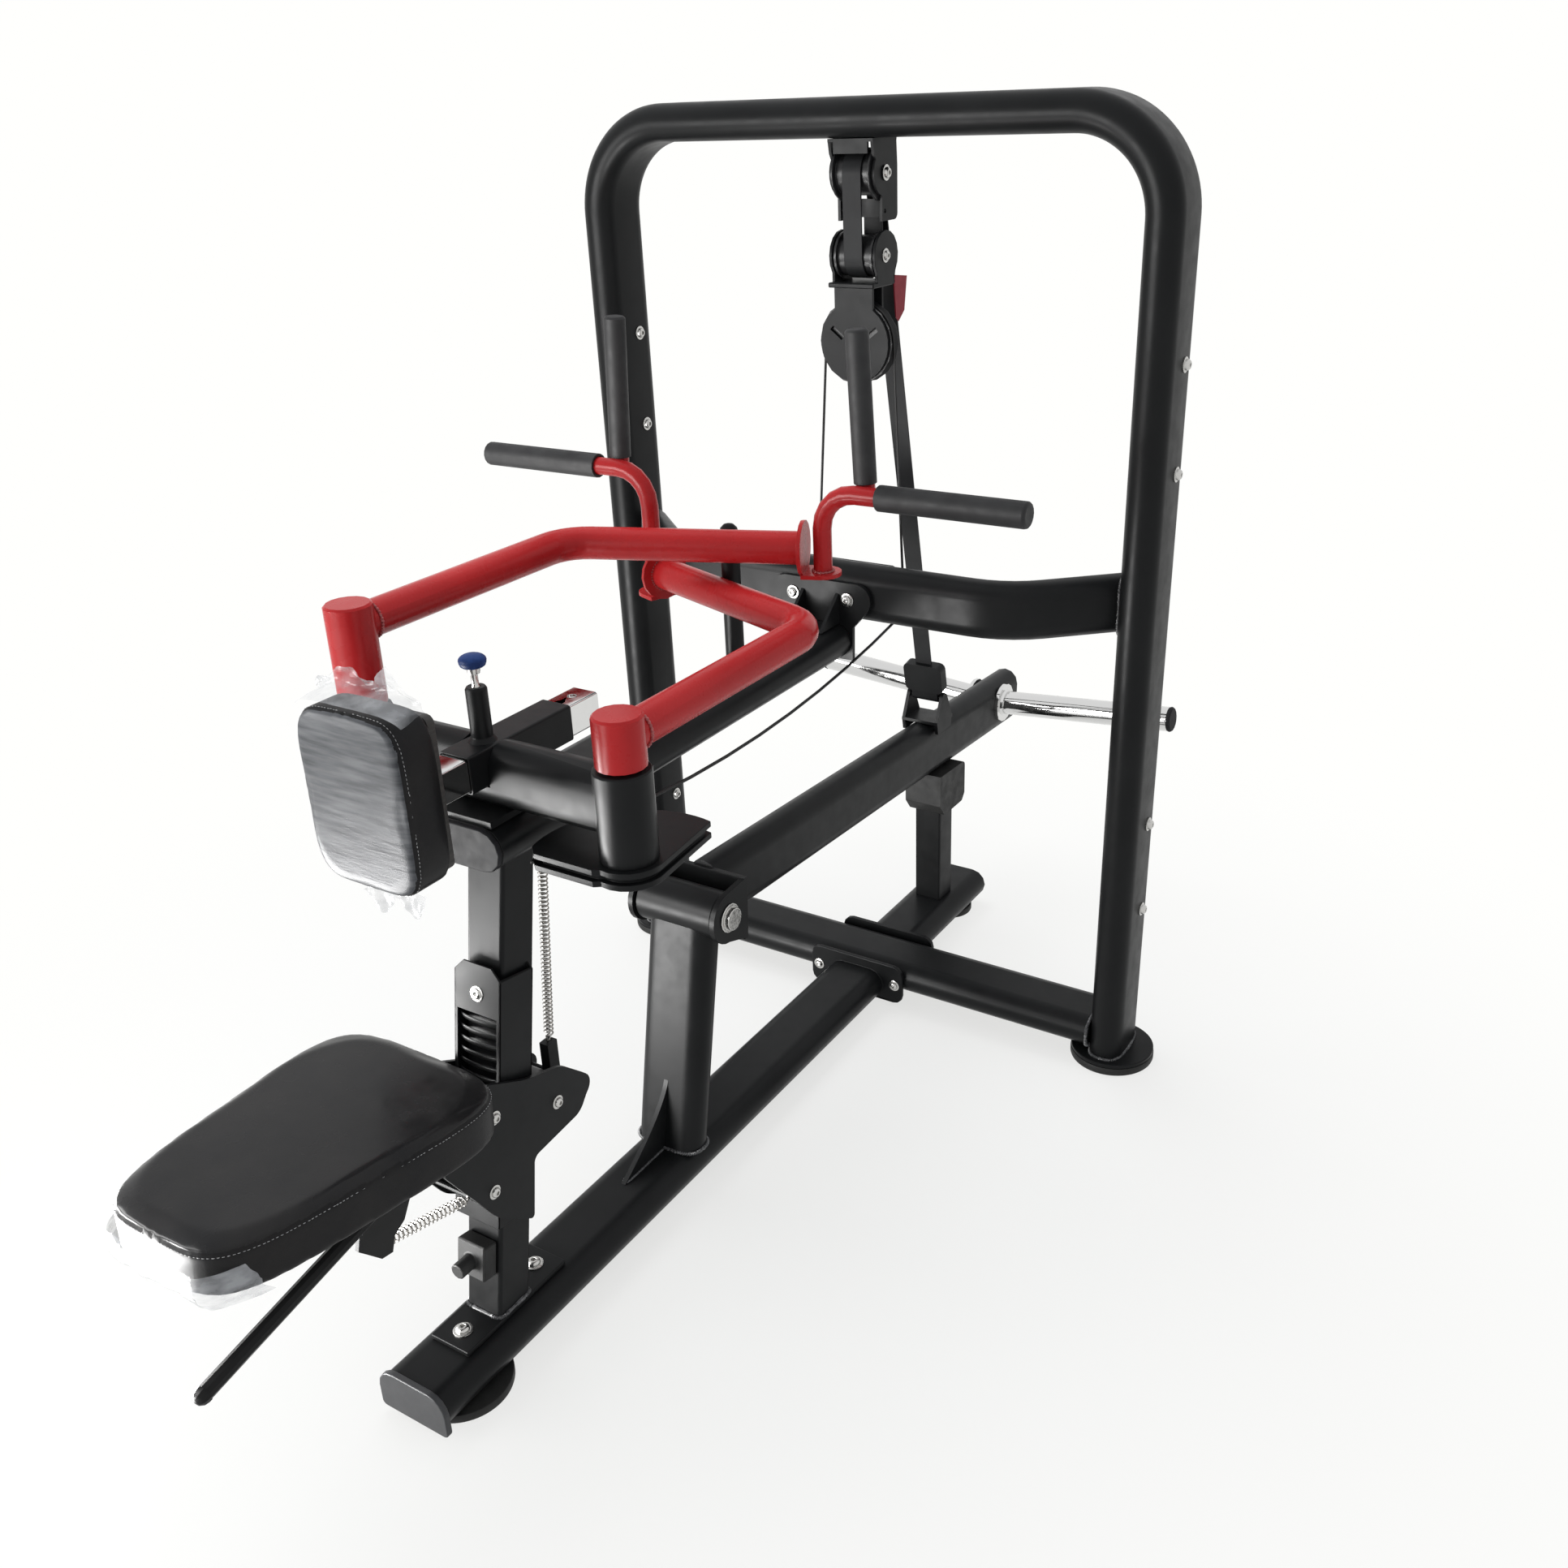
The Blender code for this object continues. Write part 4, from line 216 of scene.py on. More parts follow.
def place_noise(nodes, links, scale, detail=3.0, stretch=(1, 1, 1)):
    """Noise on Object coordinates, with its own scale and a stretch along the axes."""
    coords = nodes.new("ShaderNodeTexCoord")
    turn = nodes.new("ShaderNodeMapping")
    turn.inputs["Scale"].default_value = stretch
    noise = nodes.new("ShaderNodeTexNoise")
    noise.inputs["Scale"].default_value = scale
    noise.inputs["Detail"].default_value = detail
    links.new(coords.outputs["Object"], turn.inputs["Vector"])
    links.new(turn.outputs["Vector"], noise.inputs["Vector"])
    return noise.outputs["Fac"]


def spread(nodes, links, value, low, high):
    """Maps a noise value between 0.3 and 0.7 to the range from low to high."""
    return mapped(nodes, links, value, 0.3, 0.7, low, high)


def two_tone(nodes, links, value, dark, light):
    """Colour that goes from dark to light with a noise value."""
    ramp = nodes.new("ShaderNodeValToRGB")
    ramp.color_ramp.elements[0].position = 0.32
    ramp.color_ramp.elements[0].color = (*dark, 1)
    ramp.color_ramp.elements[1].position = 0.68
    ramp.color_ramp.elements[1].color = (*light, 1)
    links.new(value, ramp.inputs["Fac"])
    return ramp.outputs["Color"]


def patchy(name, colour, rough, noise, dark, light, specular=0.5):
    """Finish that goes from dark to light with a noise, which is given as place_noise takes it."""
    material, nodes, links, shader = new_finish(name, colour, rough)
    value = place_noise(nodes, links, *noise)
    links.new(two_tone(nodes, links, value, dark, light), shader.inputs["Base Color"])
    shader.inputs["Specular IOR Level"].default_value = specular
    return material, nodes, links, shader, value


def clouded(nodes, links, shader, rough, *noise, socket="Roughness"):
    """Roughness that wanders between two values with a noise."""
    links.new(spread(nodes, links, place_noise(nodes, links, *noise), *rough), shader.inputs[socket])


def grain_bump(nodes, links, shader, value, strength, depth, socket="Normal"):
    """Bump of the given depth in metres from a height value."""
    bump = nodes.new("ShaderNodeBump")
    bump.inputs["Strength"].default_value = strength
    bump.inputs["Distance"].default_value = depth
    links.new(value, bump.inputs["Height"])
    links.new(bump.outputs["Normal"], shader.inputs[socket])


def sprayed(name, dark, light, rough, peel, specular=0.5, coat=0.0):
    """Sprayed paint: slow noise mixes two near colours and roughness, fine noise is the orange peel."""
    material, nodes, links, shader, _ = patchy(name, light, rough[0], (7.0,), dark, light, specular)
    clouded(nodes, links, shader, rough, 38.0)
    fine = place_noise(nodes, links, peel, 2.0)
    grain_bump(nodes, links, shader, fine, 0.12, 0.00012)
    shader.inputs["Coat Weight"].default_value = coat
    shader.inputs["Coat Roughness"].default_value = 0.08
    return material


black_paint = sprayed("satin_black_paint", (0.009, 0.0095, 0.010), (0.013, 0.0135, 0.014), (0.33, 0.42), 900.0,
                      0.11)
body_of = {}
for body, members in frame["record"]["behaviour"]["bodies"].items():
    for member in members:
        body_of[member] = body


def rounded_copy(node, material, edge=0.0009, sharp=33.0, segments=2, corners=(), rides=True, keeps=None):
    """Copy of a CAD node: its doubles merged, flat triangles joined, and its edges past an angle eased.

    First the edges along X at the given places (y, z) are rounded, each list by its own amount, and
    faces whose middle fails the test that it keeps are left out.
    """
    work = bmesh.new()
    work.from_mesh(frame["nodes"][node].data)
    bmesh.ops.remove_doubles(work, verts=work.verts, dist=1e-5)
    bmesh.ops.dissolve_limit(work, angle_limit=math.radians(0.8), verts=work.verts, edges=work.edges)
    if keeps:
        spare = [face for face in work.faces if not keeps(face.calc_center_median() - ARCH)]
        bmesh.ops.delete(work, geom=spare, context="FACES")
    for amount, places in corners:
        picks = [line for line in work.edges if line.is_manifold and line.calc_length() > 0.004
                 and abs(line.verts[0].co.x - line.verts[1].co.x) > 0.999 * line.calc_length()
                 and any(math.hypot(line.verts[0].co.y - ARCH.y - y, line.verts[0].co.z - z) < 0.0008
                         for y, z in places)]
        bmesh.ops.bevel(work, geom=picks, offset=amount, segments=5, profile=0.5, affect="EDGES", clamp_overlap=True)
    for face in work.faces:
        face.smooth = True
    mesh = bpy.data.meshes.new(node + "_finished")
    work.to_mesh(mesh)
    work.free()
    mesh.materials.append(material)
    piece = in_scene(node + "_finished", mesh)
    ease = piece.modifiers.new("eased_edges", "BEVEL")
    ease.width = edge
    ease.segments = segments
    ease.limit_method = "ANGLE"
    ease.angle_limit = math.radians(sharp)
    ease.miter_outer = "MITER_ARC"
    even = piece.modifiers.new("flat_faces_flat", "WEIGHTED_NORMAL")
    even.weight = 100
    if rides:
        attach(piece, body_of[node])
        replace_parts(piece, node)
    return piece


def values_of(items, field, width=3, kind=float):
    """Field of a mesh's points, edges or faces as an array of rows."""
    values = np.empty(len(items) * width, kind)
    items.foreach_get(field, values)
    return values.reshape(-1, width)


def applied(piece):
    """Mesh of a piece with its modifiers applied; they come off the piece."""
    layer = bpy.context.evaluated_depsgraph_get()
    mesh = bpy.data.meshes.new_from_object(piece.evaluated_get(layer))
    piece.modifiers.clear()
    return mesh


def superellipse(t, power):
    """Points of |x|^p + |y|^p = 1 at the angles t."""
    c, s = np.cos(t), np.sin(t)
    return np.sign(c) * np.abs(c) ** (2 / power), np.sign(s) * np.abs(s) ** (2 / power)


def round_section(steps):
    """Angles of a round section."""
    return np.linspace(0, 2 * np.pi, steps, endpoint=False)


def grid_tube(points):
    """Faces of a grid of rings, closed round each ring, with a flat cap at either end."""
    rows, cols = points.shape[:2]
    i, j = np.meshgrid(np.arange(rows - 1), np.arange(cols), indexing="ij")
    a = i * cols + j
    b = i * cols + (j + 1) % cols
    sides = np.stack([a, b, b + cols, a + cols], -1).reshape(-1, 4).tolist()
    first = list(range(cols))[::-1]
    last = [(rows - 1) * cols + k for k in range(cols)]
    return points.reshape(-1, 3), sides + [first, last]


def round_tube(path, radius, side, other, steps):
    """Tube of round section along a path, from two directions across it, each one or one per point."""
    ring = round_section(steps)[None, :, None]
    side, other = (np.broadcast_to(way, path.shape)[:, None] for way in (side, other))
    return grid_tube(path[:, None] + np.reshape(radius, (-1, 1, 1)) * (np.cos(ring) * side + np.sin(ring) * other))


def gathered(name, parts, material, body, smooth=True):
    """Many small shapes as one piece on a body, with all faces turned outwards."""
    verts, faces, shift = [], [], 0
    for points, sides in parts:
        verts.append(np.asarray(points, float) + np.array(ARCH))
        faces += [[k + shift for k in face] for face in sides]
        shift += len(points)
    piece = mesh_piece(name, np.concatenate(verts), faces, smooth)
    work = bmesh.new()
    work.from_mesh(piece.data)
    bmesh.ops.recalc_face_normals(work, faces=work.faces)
    work.to_mesh(piece.data)
    work.free()
    piece.data.set_sharp_from_angle(angle=math.radians(42))
    piece.data.materials.append(material)
    if body:
        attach(piece, body)
    return piece


def turned_shape(centre, axis, profile, steps=40):
    """Profile of (radius, height) points turned about an axis through a centre."""
    angle = round_section(steps)
    outline = np.array(profile, float)
    turn = np.array(Vector(axis).to_track_quat("Z", "Y").to_matrix())
    local = np.stack([outline[:, 0, None] * np.cos(angle), outline[:, 0, None] * np.sin(angle),
                      np.repeat(outline[:, 1, None], steps, 1)], -1)
    return grid_tube(local @ turn.T + np.array(centre))


X, Y, Z = (1, 0, 0), (0, 1, 0), (0, 0, 1)
FLANGE_TOP = 0.0225


BEND, TUBE_ROUND = 0.145, 0.030


def arch_rings():
    """Oval rings along the arch: straight legs and top, with each corner an arc in 24 steps.

    A ring is two half circles joined by flats as long as their width, its short side in the arch's plane.
    """
    corners = np.array([(-0.507, 0.0210), (-0.515, 1.603), (0.515, 1.603), (0.507, 0.0210)])
    points, ways = [corners[0]], [(corners[1] - corners[0]) / np.linalg.norm(corners[1] - corners[0])]
    for before, corner, after in zip(corners, corners[1:], corners[2:]):
        back, ahead = before - corner, after - corner
        back, ahead = back / np.linalg.norm(back), ahead / np.linalg.norm(ahead)
        half = math.acos(float(back @ ahead)) / 2
        middle = corner + (back + ahead) / np.linalg.norm(back + ahead) * BEND / math.sin(half)
        first = corner + back * BEND / math.tan(half) - middle
        sweep = math.pi - 2 * half
        for angle in np.linspace(0, -sweep, 25):
            c, s = math.cos(angle), math.sin(angle)
            points.append(middle + np.array([c * first[0] - s * first[1], s * first[0] + c * first[1]]))
            spoke = points[-1] - middle
            ways.append(np.array([spoke[1], -spoke[0]]) / BEND)
    points.append(corners[-1])
    ways.append((corners[-1] - corners[-2]) / np.linalg.norm(corners[-1] - corners[-2]))
    round_half = np.linspace(0, np.pi, 17)
    short = TUBE_ROUND * np.concatenate([np.cos(round_half), -np.cos(round_half)])
    long = TUBE_ROUND * np.concatenate([1 + np.sin(round_half), -1 - np.sin(round_half)])
    rings = [np.stack([point[0] + short * way[1], long, point[1] - short * way[0]], 1)
             for point, way in zip(points, ways)]
    return grid_tube(np.array(rings))


def foot_flange(side):
    """Round plate welded under a leg, its rims eased."""
    return turned_shape((side * 0.507, 0, 0), Z, [(0.002, 0.0156), (0.0737, 0.0156), (0.0745, 0.0164),
                                                  (0.0745, FLANGE_TOP - 0.0012), (0.0733, FLANGE_TOP),
                                                  (0.002, FLANGE_TOP)], 72)


arch_tube = gathered("arch_tube", [arch_rings(), foot_flange(-1), foot_flange(1)], black_paint, "frame")
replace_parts(arch_tube, "arch_frame")
for node in ("crossbar", "floor_cross_tube", "base_tube", "rear_stub_tube", "seat_post", "upper_beam", "pivot_yoke",
             "chest_sleeve", "lever_tube"):
    rounded_copy(node, black_paint, 0.0016)
for node in ("beam_bracket", "guide_pulley_bracket", "pulley_bracket", "floating_block", "belt_clamp",
             "lever_belt_bracket", "left_cam", "right_cam"):
    rounded_copy(node, black_paint, 0.0008)
lobe = [(-0.943 + 0.020 * math.cos(math.radians(50 - 22 * k)), 0.367 + 0.020 * math.sin(math.radians(50 - 22 * k)))
        for k in range(6)]
rounded_copy("seat_carriage", black_paint, 0.0008, corners=(
    (0.0030, lobe), (0.011, [(-0.977, 0.425), (-0.950, 0.328), (-1.050, 0.447)]),
    (0.009, [(-1.051, 0.318), (-1.067, 0.221), (-1.132, 0.271), (-1.214, 0.400), (-1.200, 0.440)])))


def leaning_post():
    """Middle post: two oval rings up a lean of 0.2, a turned bearing housing with its bore, and a thin fin.

    The fin is 0.120 m high, and its front edge curves out as the power 1.6 of the height left above it.
    """
    foot, top = np.array([-0.6805, 0.0754]), np.array([-0.600, 0.478])
    lean = (top - foot) / np.linalg.norm(top - foot)
    square = np.array([lean[1], -lean[0]])
    half = np.linspace(0, np.pi, 13)
    wide = np.concatenate([0.030 + 0.030 * np.sin(half), -0.030 - 0.030 * np.sin(half)])
    deep = 0.030 * np.concatenate([np.cos(half), -np.cos(half)])
    end = top - 0.002 * lean
    rings = [np.stack([wide, foot[0] + deep / square[0], np.full(len(wide), foot[1])], 1),
             np.stack([wide, end[0] + deep * square[0], end[1] + deep * square[1]], 1)]
    housing = turned_shape((0, -0.600, 0.478), X, [(0.0132, -0.0713), (0.0370, -0.0713), (0.0380, -0.0703),
                                                   (0.0380, 0.0703), (0.0370, 0.0713), (0.0132, 0.0713)], 64)
    rise = np.linspace(0, 1, 15)
    face = foot[0] - 0.030 / square[0] + 0.2 * 0.120 * rise + 0.003
    edge = np.stack([face - 0.003 - 0.1090 * (1 - rise) ** 1.6 * 0.97, foot[1] + 0.120 * rise], 1)
    back = np.stack([face, foot[1] + 0.120 * rise], 1)[::-1]
    outline = np.concatenate([edge, back[1:]])
    fin = np.stack([np.column_stack([np.full(len(outline), x), outline]) for x in (-0.004, 0.004)])
    return [grid_tube(np.array(rings)), housing, grid_tube(fin)]


middle = gathered("middle_post_finished", leaning_post(), black_paint, "frame")
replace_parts(middle, "middle_post")


# ---- Weld beads ----
# The tubes are joined by fillet welds whose ripples show through the paint; a fine noise mixes pale patches
# into their colour, painted highlights that look paler than the tube beside them.

weld_paint, nodes, links, shader, weld_glint = patchy("painted_weld", (0.05, 0.05, 0.052), 0.42, (210.0, 4.0),
                                                (0.02, 0.021, 0.022), (0.16, 0.16, 0.165))
grain_bump(nodes, links, shader, weld_glint, 0.4, 0.0006)


def bead(centre, u_axis, v_axis, half_u, half_v, power, radius, start=0, end=360, ripple=0.0042):
    """Bead on a superellipse |u|^p + |v|^p = 1: a round section whose radius ripples along the path."""
    around = math.radians(abs(end - start)) * (half_u + half_v) / 2
    count = max(24, int(around / ripple * 4))
    t = np.radians(np.linspace(start, end, count))
    c, s = np.cos(t), np.sin(t)
    unit_u, unit_v = superellipse(t, power)
    u, v = unit_u * half_u, unit_v * half_v
    axis_u, axis_v = np.array(u_axis, float), np.array(v_axis, float)
    path = np.array(centre, float) + u[:, None] * axis_u + v[:, None] * axis_v
    outward = np.stack([c, s], 1)
    flat = outward[:, 0, None] * axis_u + outward[:, 1, None] * axis_v
    swell = radius * (1 + 0.22 * np.sin(2 * np.pi * np.arange(count) / 4) + 0.05 * np.cos(9 * t))
    return round_tube(path, swell, flat, np.cross(axis_u, axis_v), 8)


def straight_bead(start, end, radius, ripple=0.0042):
    """Bead along a straight edge: a round section whose radius ripples, tapering at both ends."""
    start, end = np.array(start, float), np.array(end, float)
    long = np.linalg.norm(end - start)
    count = max(12, int(long / ripple * 4))
    way = (end - start) / long
    side = np.cross(way, (0, 0, 1.0) if abs(way[2]) < 0.9 else (1.0, 0, 0))
    side /= np.linalg.norm(side)
    other = np.cross(way, side)
    u = np.linspace(0, 1, count)
    taper = np.clip(12 * np.minimum(u, 1 - u) + 0.3, 0, 1)
    swell = radius * (1 + 0.22 * np.sin(2 * np.pi * np.arange(count) / 4)) * taper
    return round_tube(start + (end - start) * u[:, None], swell, side, other, 8)


frame_beads = []
for side in (-1, 1):
    frame_beads.append(bead((side * 0.4785, 0.0, 0.8705), Y, Z, 0.0305, 0.0495, 4, 0.0028))
    frame_beads.append(bead((side * 0.4765, 0.0, 0.060), Y, Z, 0.060, 0.0302, 3.2, 0.0030))
    frame_beads.append(bead((side * 0.507, 0.0, 0.0232), X, Y, 0.031, 0.061, 3.0, 0.0030))
frame_beads.append(bead((0, -1.1068, 0.0843), X, Y, 0.0325, 0.0332, 9, 0.0030))
frame_beads.append(bead((0, -0.6805, 0.0768), X, Y, 0.0605, 0.0312, 3, 0.0030))
for side in (-1, 1):
    frame_beads.append(straight_bead((side * 0.0045, -0.8120, 0.0766), (side * 0.0045, -0.7130, 0.0766), 0.0022))
gathered("frame_weld_beads", frame_beads, weld_paint, "frame")


# ---- Feet, bumper and tube caps ----
# Moulded black rubber and nylon: round feet under the frame, a block that the lever lands on, and
# pushed-in caps with a dull, slightly greyed skin.

def moulded(name, dark, light, rough, grain, depth, specular=0.3):
    """Moulded rubber or nylon: two greys in slow patches and a fine pitted skin."""
    material, nodes, links, shader, _ = patchy(name, light, rough[0], (22.0,), dark, light, specular)
    clouded(nodes, links, shader, rough, 60.0)
    grain_bump(nodes, links, shader, place_noise(nodes, links, grain, 4.0), 0.45, depth)
    return material


foot_rubber = moulded("foot_rubber", (0.010, 0.010, 0.010), (0.020, 0.020, 0.019), (0.50, 0.66), 420.0, 0.0004)
cap_nylon = moulded("grey_black_nylon", (0.036, 0.037, 0.040), (0.048, 0.049, 0.052), (0.42, 0.52), 800.0, 0.0002)
pulley_nylon = moulded("black_nylon", (0.014, 0.014, 0.015), (0.024, 0.024, 0.025), (0.28, 0.40), 300.0, 0.0003)
for node in ("left_foot", "right_foot", "front_foot", "rear_foot"):
    corners = np.array([list(v.co) for v in frame["nodes"][node].data.vertices])
    low, high = corners.min(0), corners.max(0)
    r, tall = (high[0] - low[0]) / 2, high[2]
    puck = turned_shape(((low[0] + high[0]) / 2, (low[1] + high[1]) / 2 - ARCH.y, 0), Z,
                        [(0.001, 0), (r - 0.0030, 0), (r - 0.0008, 0.0010), (r, 0.0034), (r, tall - 0.0030),
                         (r - 0.0008, tall - 0.0008), (r - 0.0030, tall), (0.001, tall)], 72)
    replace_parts(gathered(node + "_puck", [puck], foot_rubber, "frame"), node)
for node in ("rubber_bumper", "seat_stop"):
    rounded_copy(node, foot_rubber, 0.0022, segments=3)
rounded_copy("base_end_cap", cap_nylon, 0.0020, segments=3)
dull_nylon = moulded("dull_black_nylon", (0.020, 0.020, 0.021), (0.030, 0.030, 0.032), (0.5, 0.6), 700.0, 0.0002,
                     0.05)
for node in ("beam_end_cap", "left_horn_cap", "right_horn_cap"):
    rounded_copy(node, dull_nylon, 0.0020, segments=3)


# ---- Bolts ----
# Stainless button-head bolts with hexagon sockets on plain washers hold the bolted joints; they are
# turned bright steel, a little scuffed round the socket.

def scuffed_steel(name, colour, rough, scale):
    """Bright steel: roughness wanders with noise, and short fine scratches lie in the bump."""
    material, nodes, links, shader = new_finish(name, colour, rough[0], 1.0)
    clouded(nodes, links, shader, rough, scale)
    scratch = place_noise(nodes, links, scale * 6, 5.0, (1, 1, 5))
    grain_bump(nodes, links, shader, scratch, 0.04, 0.00005)
    return material


stainless = scuffed_steel("stainless_steel", (0.52, 0.515, 0.50), (0.16, 0.34), 160.0)


def button_bolt(centre, axis, radius, tall=1.0):
    """Bolt head on its washer: a profile turned about the axis, whose socket rings are hexagons."""
    r = radius
    profile = [(1.42, 0.0, 0), (1.42, 0.16, 0), (1.36, 0.20, 0), (1.02, 0.20, 0), (1.0, 0.26, 0), (0.98, 0.46, 0),
               (0.88, 0.66, 0), (0.70, 0.80, 0), (0.55, 0.84, 0), (0.46, 0.84, 1), (0.43, 0.80, 1), (0.43, 0.46, 1),
               (0.20, 0.38, 0), (0.03, 0.36, 0)]
    angle = round_section(24)
    hexagon = math.cos(math.pi / 6) / np.cos((angle % (math.pi / 3)) - math.pi / 6)
    radii = np.array([p[0] * (hexagon if p[2] else np.ones(24)) for p in profile]) * r
    heights = np.array([p[1] for p in profile]) * r * tall
    turn = np.array(Vector(axis).normalized().to_track_quat("Z", "Y").to_matrix())
    local = np.stack([radii * np.cos(angle), radii * np.sin(angle), np.repeat(heights[:, None], 24, 1)], -1)
    return grid_tube(local @ turn.T + np.array(centre))


frame_bolts = []
for z in (1.250, 1.084, 0.478, 0.310):
    lean = 0.008 * (z / 1.6)
    for side in (-1, 1):
        frame_bolts.append(button_bolt((side * (0.5372 + lean), 0.012, z), (side, 0, 0), 0.0085, 1.3))
        frame_bolts.append(button_bolt((side * (0.4768 + lean), 0.012, z), (-side, 0, 0), 0.0085, 1.1))
for x in (-0.085, 0.085):
    for side in (-1, 1):
        frame_bolts.append(button_bolt((x, side * 0.0684, 0.053), (0, side, 0), 0.0078))
for y in (-1.181, -1.030):
    frame_bolts.append(button_bolt((0, y, 0.0834), (0, 0, 1), 0.0100))
for side in (-1, 1):
    frame_bolts.append(button_bolt((side * 0.0425, 0.0, 1.521), (side, 0, 0), 0.0085))
    frame_bolts.append(button_bolt((side * 0.0534, -0.1665, 0.8640), (0, -1, 0), 0.0085))
gathered("frame_bolts", frame_bolts, stainless, "frame")

carriage_bolts = []
for side in (-1, 1):
    for y, z in ((-0.994, 0.3740), (-1.114, 0.4270), (-1.195, 0.4170), (-1.133, 0.3170)):
        carriage_bolts.append(button_bolt((side * 0.0530, y, z), (side, 0, 0), 0.0072))
gathered("carriage_bolts", carriage_bolts, stainless, "seat_body")


# ---- Arms and handles ----
# Bent round steel tube in glossy red enamel: an upright hub over each pivot, the arm, an end plate
# and a tongue that carries the handle tube, all welded before painting.

red_enamel = sprayed("red_enamel", (0.440, 0.018, 0.020), (0.510, 0.022, 0.024), (0.24, 0.31), 700.0, 0.13, 0.05)
for node in ("left_arm", "right_arm", "left_handle", "right_handle"):
    rounded_copy(node, red_enamel, 0.0012)

# Red weld colour: darker red with pinkish patches from a fine noise, painted highlights on the beads.
red_weld, nodes, links, shader, red_weld_glint = patchy("red_enamel_on_weld", (0.34, 0.04, 0.04), 0.28, (180.0, 4.0),
                                                (0.28, 0.028, 0.030), (0.46, 0.10, 0.10))
grain_bump(nodes, links, shader, red_weld_glint, 0.4, 0.0006)
ARM_HEIGHTS = {-1: 1.031, 1: 0.958}
for side, name, body in ((-1, "left", "left_arm_body"), (1, "right", "right_arm_body")):
    height = ARM_HEIGHTS[side]
    beads = [bead((side * 0.218, -0.986 + 0.0315, height), X, Z, 0.0250, 0.0250, 2, 0.0024)]
    beads.append(bead((-side * 0.158, -0.413, height - 0.0332), X, Y, 0.0148, 0.0148, 2, 0.0022))
    turn = math.radians(70)
    plate_at = (side * (0.218 - 0.370 * math.sin(turn)), -0.550 + 0.370 * math.cos(turn), height)
    beads.append(bead(plate_at, (math.cos(turn), side * math.sin(turn), 0), Z, 0.0256, 0.0256, 2, 0.0024))
    gathered(name + "_arm_weld_beads", beads, red_weld, body)


# ---- Grips ----
# Foam-rubber sleeves with domed ends, pushed over the handle tubes: matt black, finely pitted, with
# a faint bloom where hands rub.

grip_rubber = moulded("grip_rubber", (0.016, 0.016, 0.017), (0.028, 0.028, 0.029), (0.50, 0.64), 950.0, 0.00035)
for node in ("left_outer_grip", "right_outer_grip", "left_upright_grip", "right_upright_grip"):
    rounded_copy(node, grip_rubber, 0.0022, segments=3)


# ---- Chest pad slide and its spring pin ----
# Chromed square tube that slides in the welded sleeve, held by a spring pin: a turned steel stem
# with a moulded blue mushroom knob.

chrome = scuffed_steel("chrome", (0.66, 0.66, 0.655), (0.06, 0.14), 70.0)
rounded_copy("chest_tube", chrome, 0.0022, segments=3)


PIN = (0, -0.992, 0)
swept = np.linspace(0, math.pi / 2, 9)
dome = [(0.0175 * math.cos(a) + 0.0002, 1.0225 + 0.0085 * math.sin(a)) for a in swept]
skirt = [(0.0105, 1.0140), (0.0135, 1.0142), (0.0160, 1.0160), (0.0172, 1.0190)]
knob_blue, nodes, links, shader, _ = patchy("blue_knob_plastic", (0.020, 0.045, 0.160), 0.42, (90.0,),
                                            (0.016, 0.036, 0.130), (0.024, 0.055, 0.190), 0.08)
grain_bump(nodes, links, shader, place_noise(nodes, links, 900.0), 0.2, 0.0002)
knob = gathered("pop_pin_knob", [turned_shape(PIN, Z, skirt + dome)], knob_blue, "pop_pin_body")
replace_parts(knob, "pop_pin")
stem = [(0.0052, 0.9132), (0.0058, 0.9150), (0.0058, 0.988), (0.0046, 0.990), (0.0046, 1.004), (0.0078, 1.0055),
        (0.0084, 1.008), (0.0084, 1.0135), (0.0050, 1.0150)]
gathered("pop_pin_stem", [turned_shape(PIN, Z, stem)], stainless, "pop_pin_body")


# ---- Chest pad ----
# Firm foam on a plywood board, covered in black vinyl: a front panel sewn to a side band with a
# lapped seam, and the maker's clear stretch film still on it, pulled tight over the front.

board_wood, nodes, links, shader, ply = patchy("painted_board", (0.03, 0.028, 0.026), 0.6, (30.0, 5.0, (1, 1, 9)),
                                               (0.022, 0.021, 0.020), (0.045, 0.041, 0.037))
grain_bump(nodes, links, shader, ply, 0.3, 0.0004)
rounded_copy("chest_pad_board", board_wood, 0.001)


def clear_film(name):
    """Thin clear polythene: mostly see-through, with milky creases where its noise runs high."""
    material, nodes, links, shader = new_finish(name, (0.62, 0.63, 0.65), 0.16)
    crease = place_noise(nodes, links, 26.0, 4.0, (1, 1, 2.2))
    links.new(spread(nodes, links, crease, 0.10, 0.62), shader.inputs["Alpha"])
    grain_bump(nodes, links, shader, crease, 0.5, 0.0015)
    shader.inputs["Specular IOR Level"].default_value = 0.6
    return material


def crumpled_sheet(name, rows, material, body):
    """Film: a grid of points, already shaken by summed sines, made into a sheet of quads with its finish on a body."""
    high, wide = rows.shape[:2]
    i, j = np.meshgrid(np.arange(high - 1), np.arange(wide - 1), indexing="ij")
    a = (i * wide + j).ravel()
    piece = mesh_piece(name, rows.reshape(-1, 3) + np.array(ARCH),
                       np.stack([a, a + 1, a + wide + 1, a + wide], 1).tolist())
    piece.data.materials.append(material)
    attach(piece, body)
    return piece


def shaken(seed, count, u, v):
    """Sum of sines of u and v with seeded wave numbers and phases, between about -1 and 1."""
    random = np.random.default_rng(seed)
    total = np.zeros(np.broadcast(u, v).shape)
    for order in range(count):
        waves_u, waves_v = random.uniform(1.2, 3.4) * (1 + order), random.uniform(-1.2, 1.2) * (1 + order)
        total += np.sin(2 * np.pi * (waves_u * u + waves_v * v + random.uniform())) / (1 + order)
    return total / 1.9


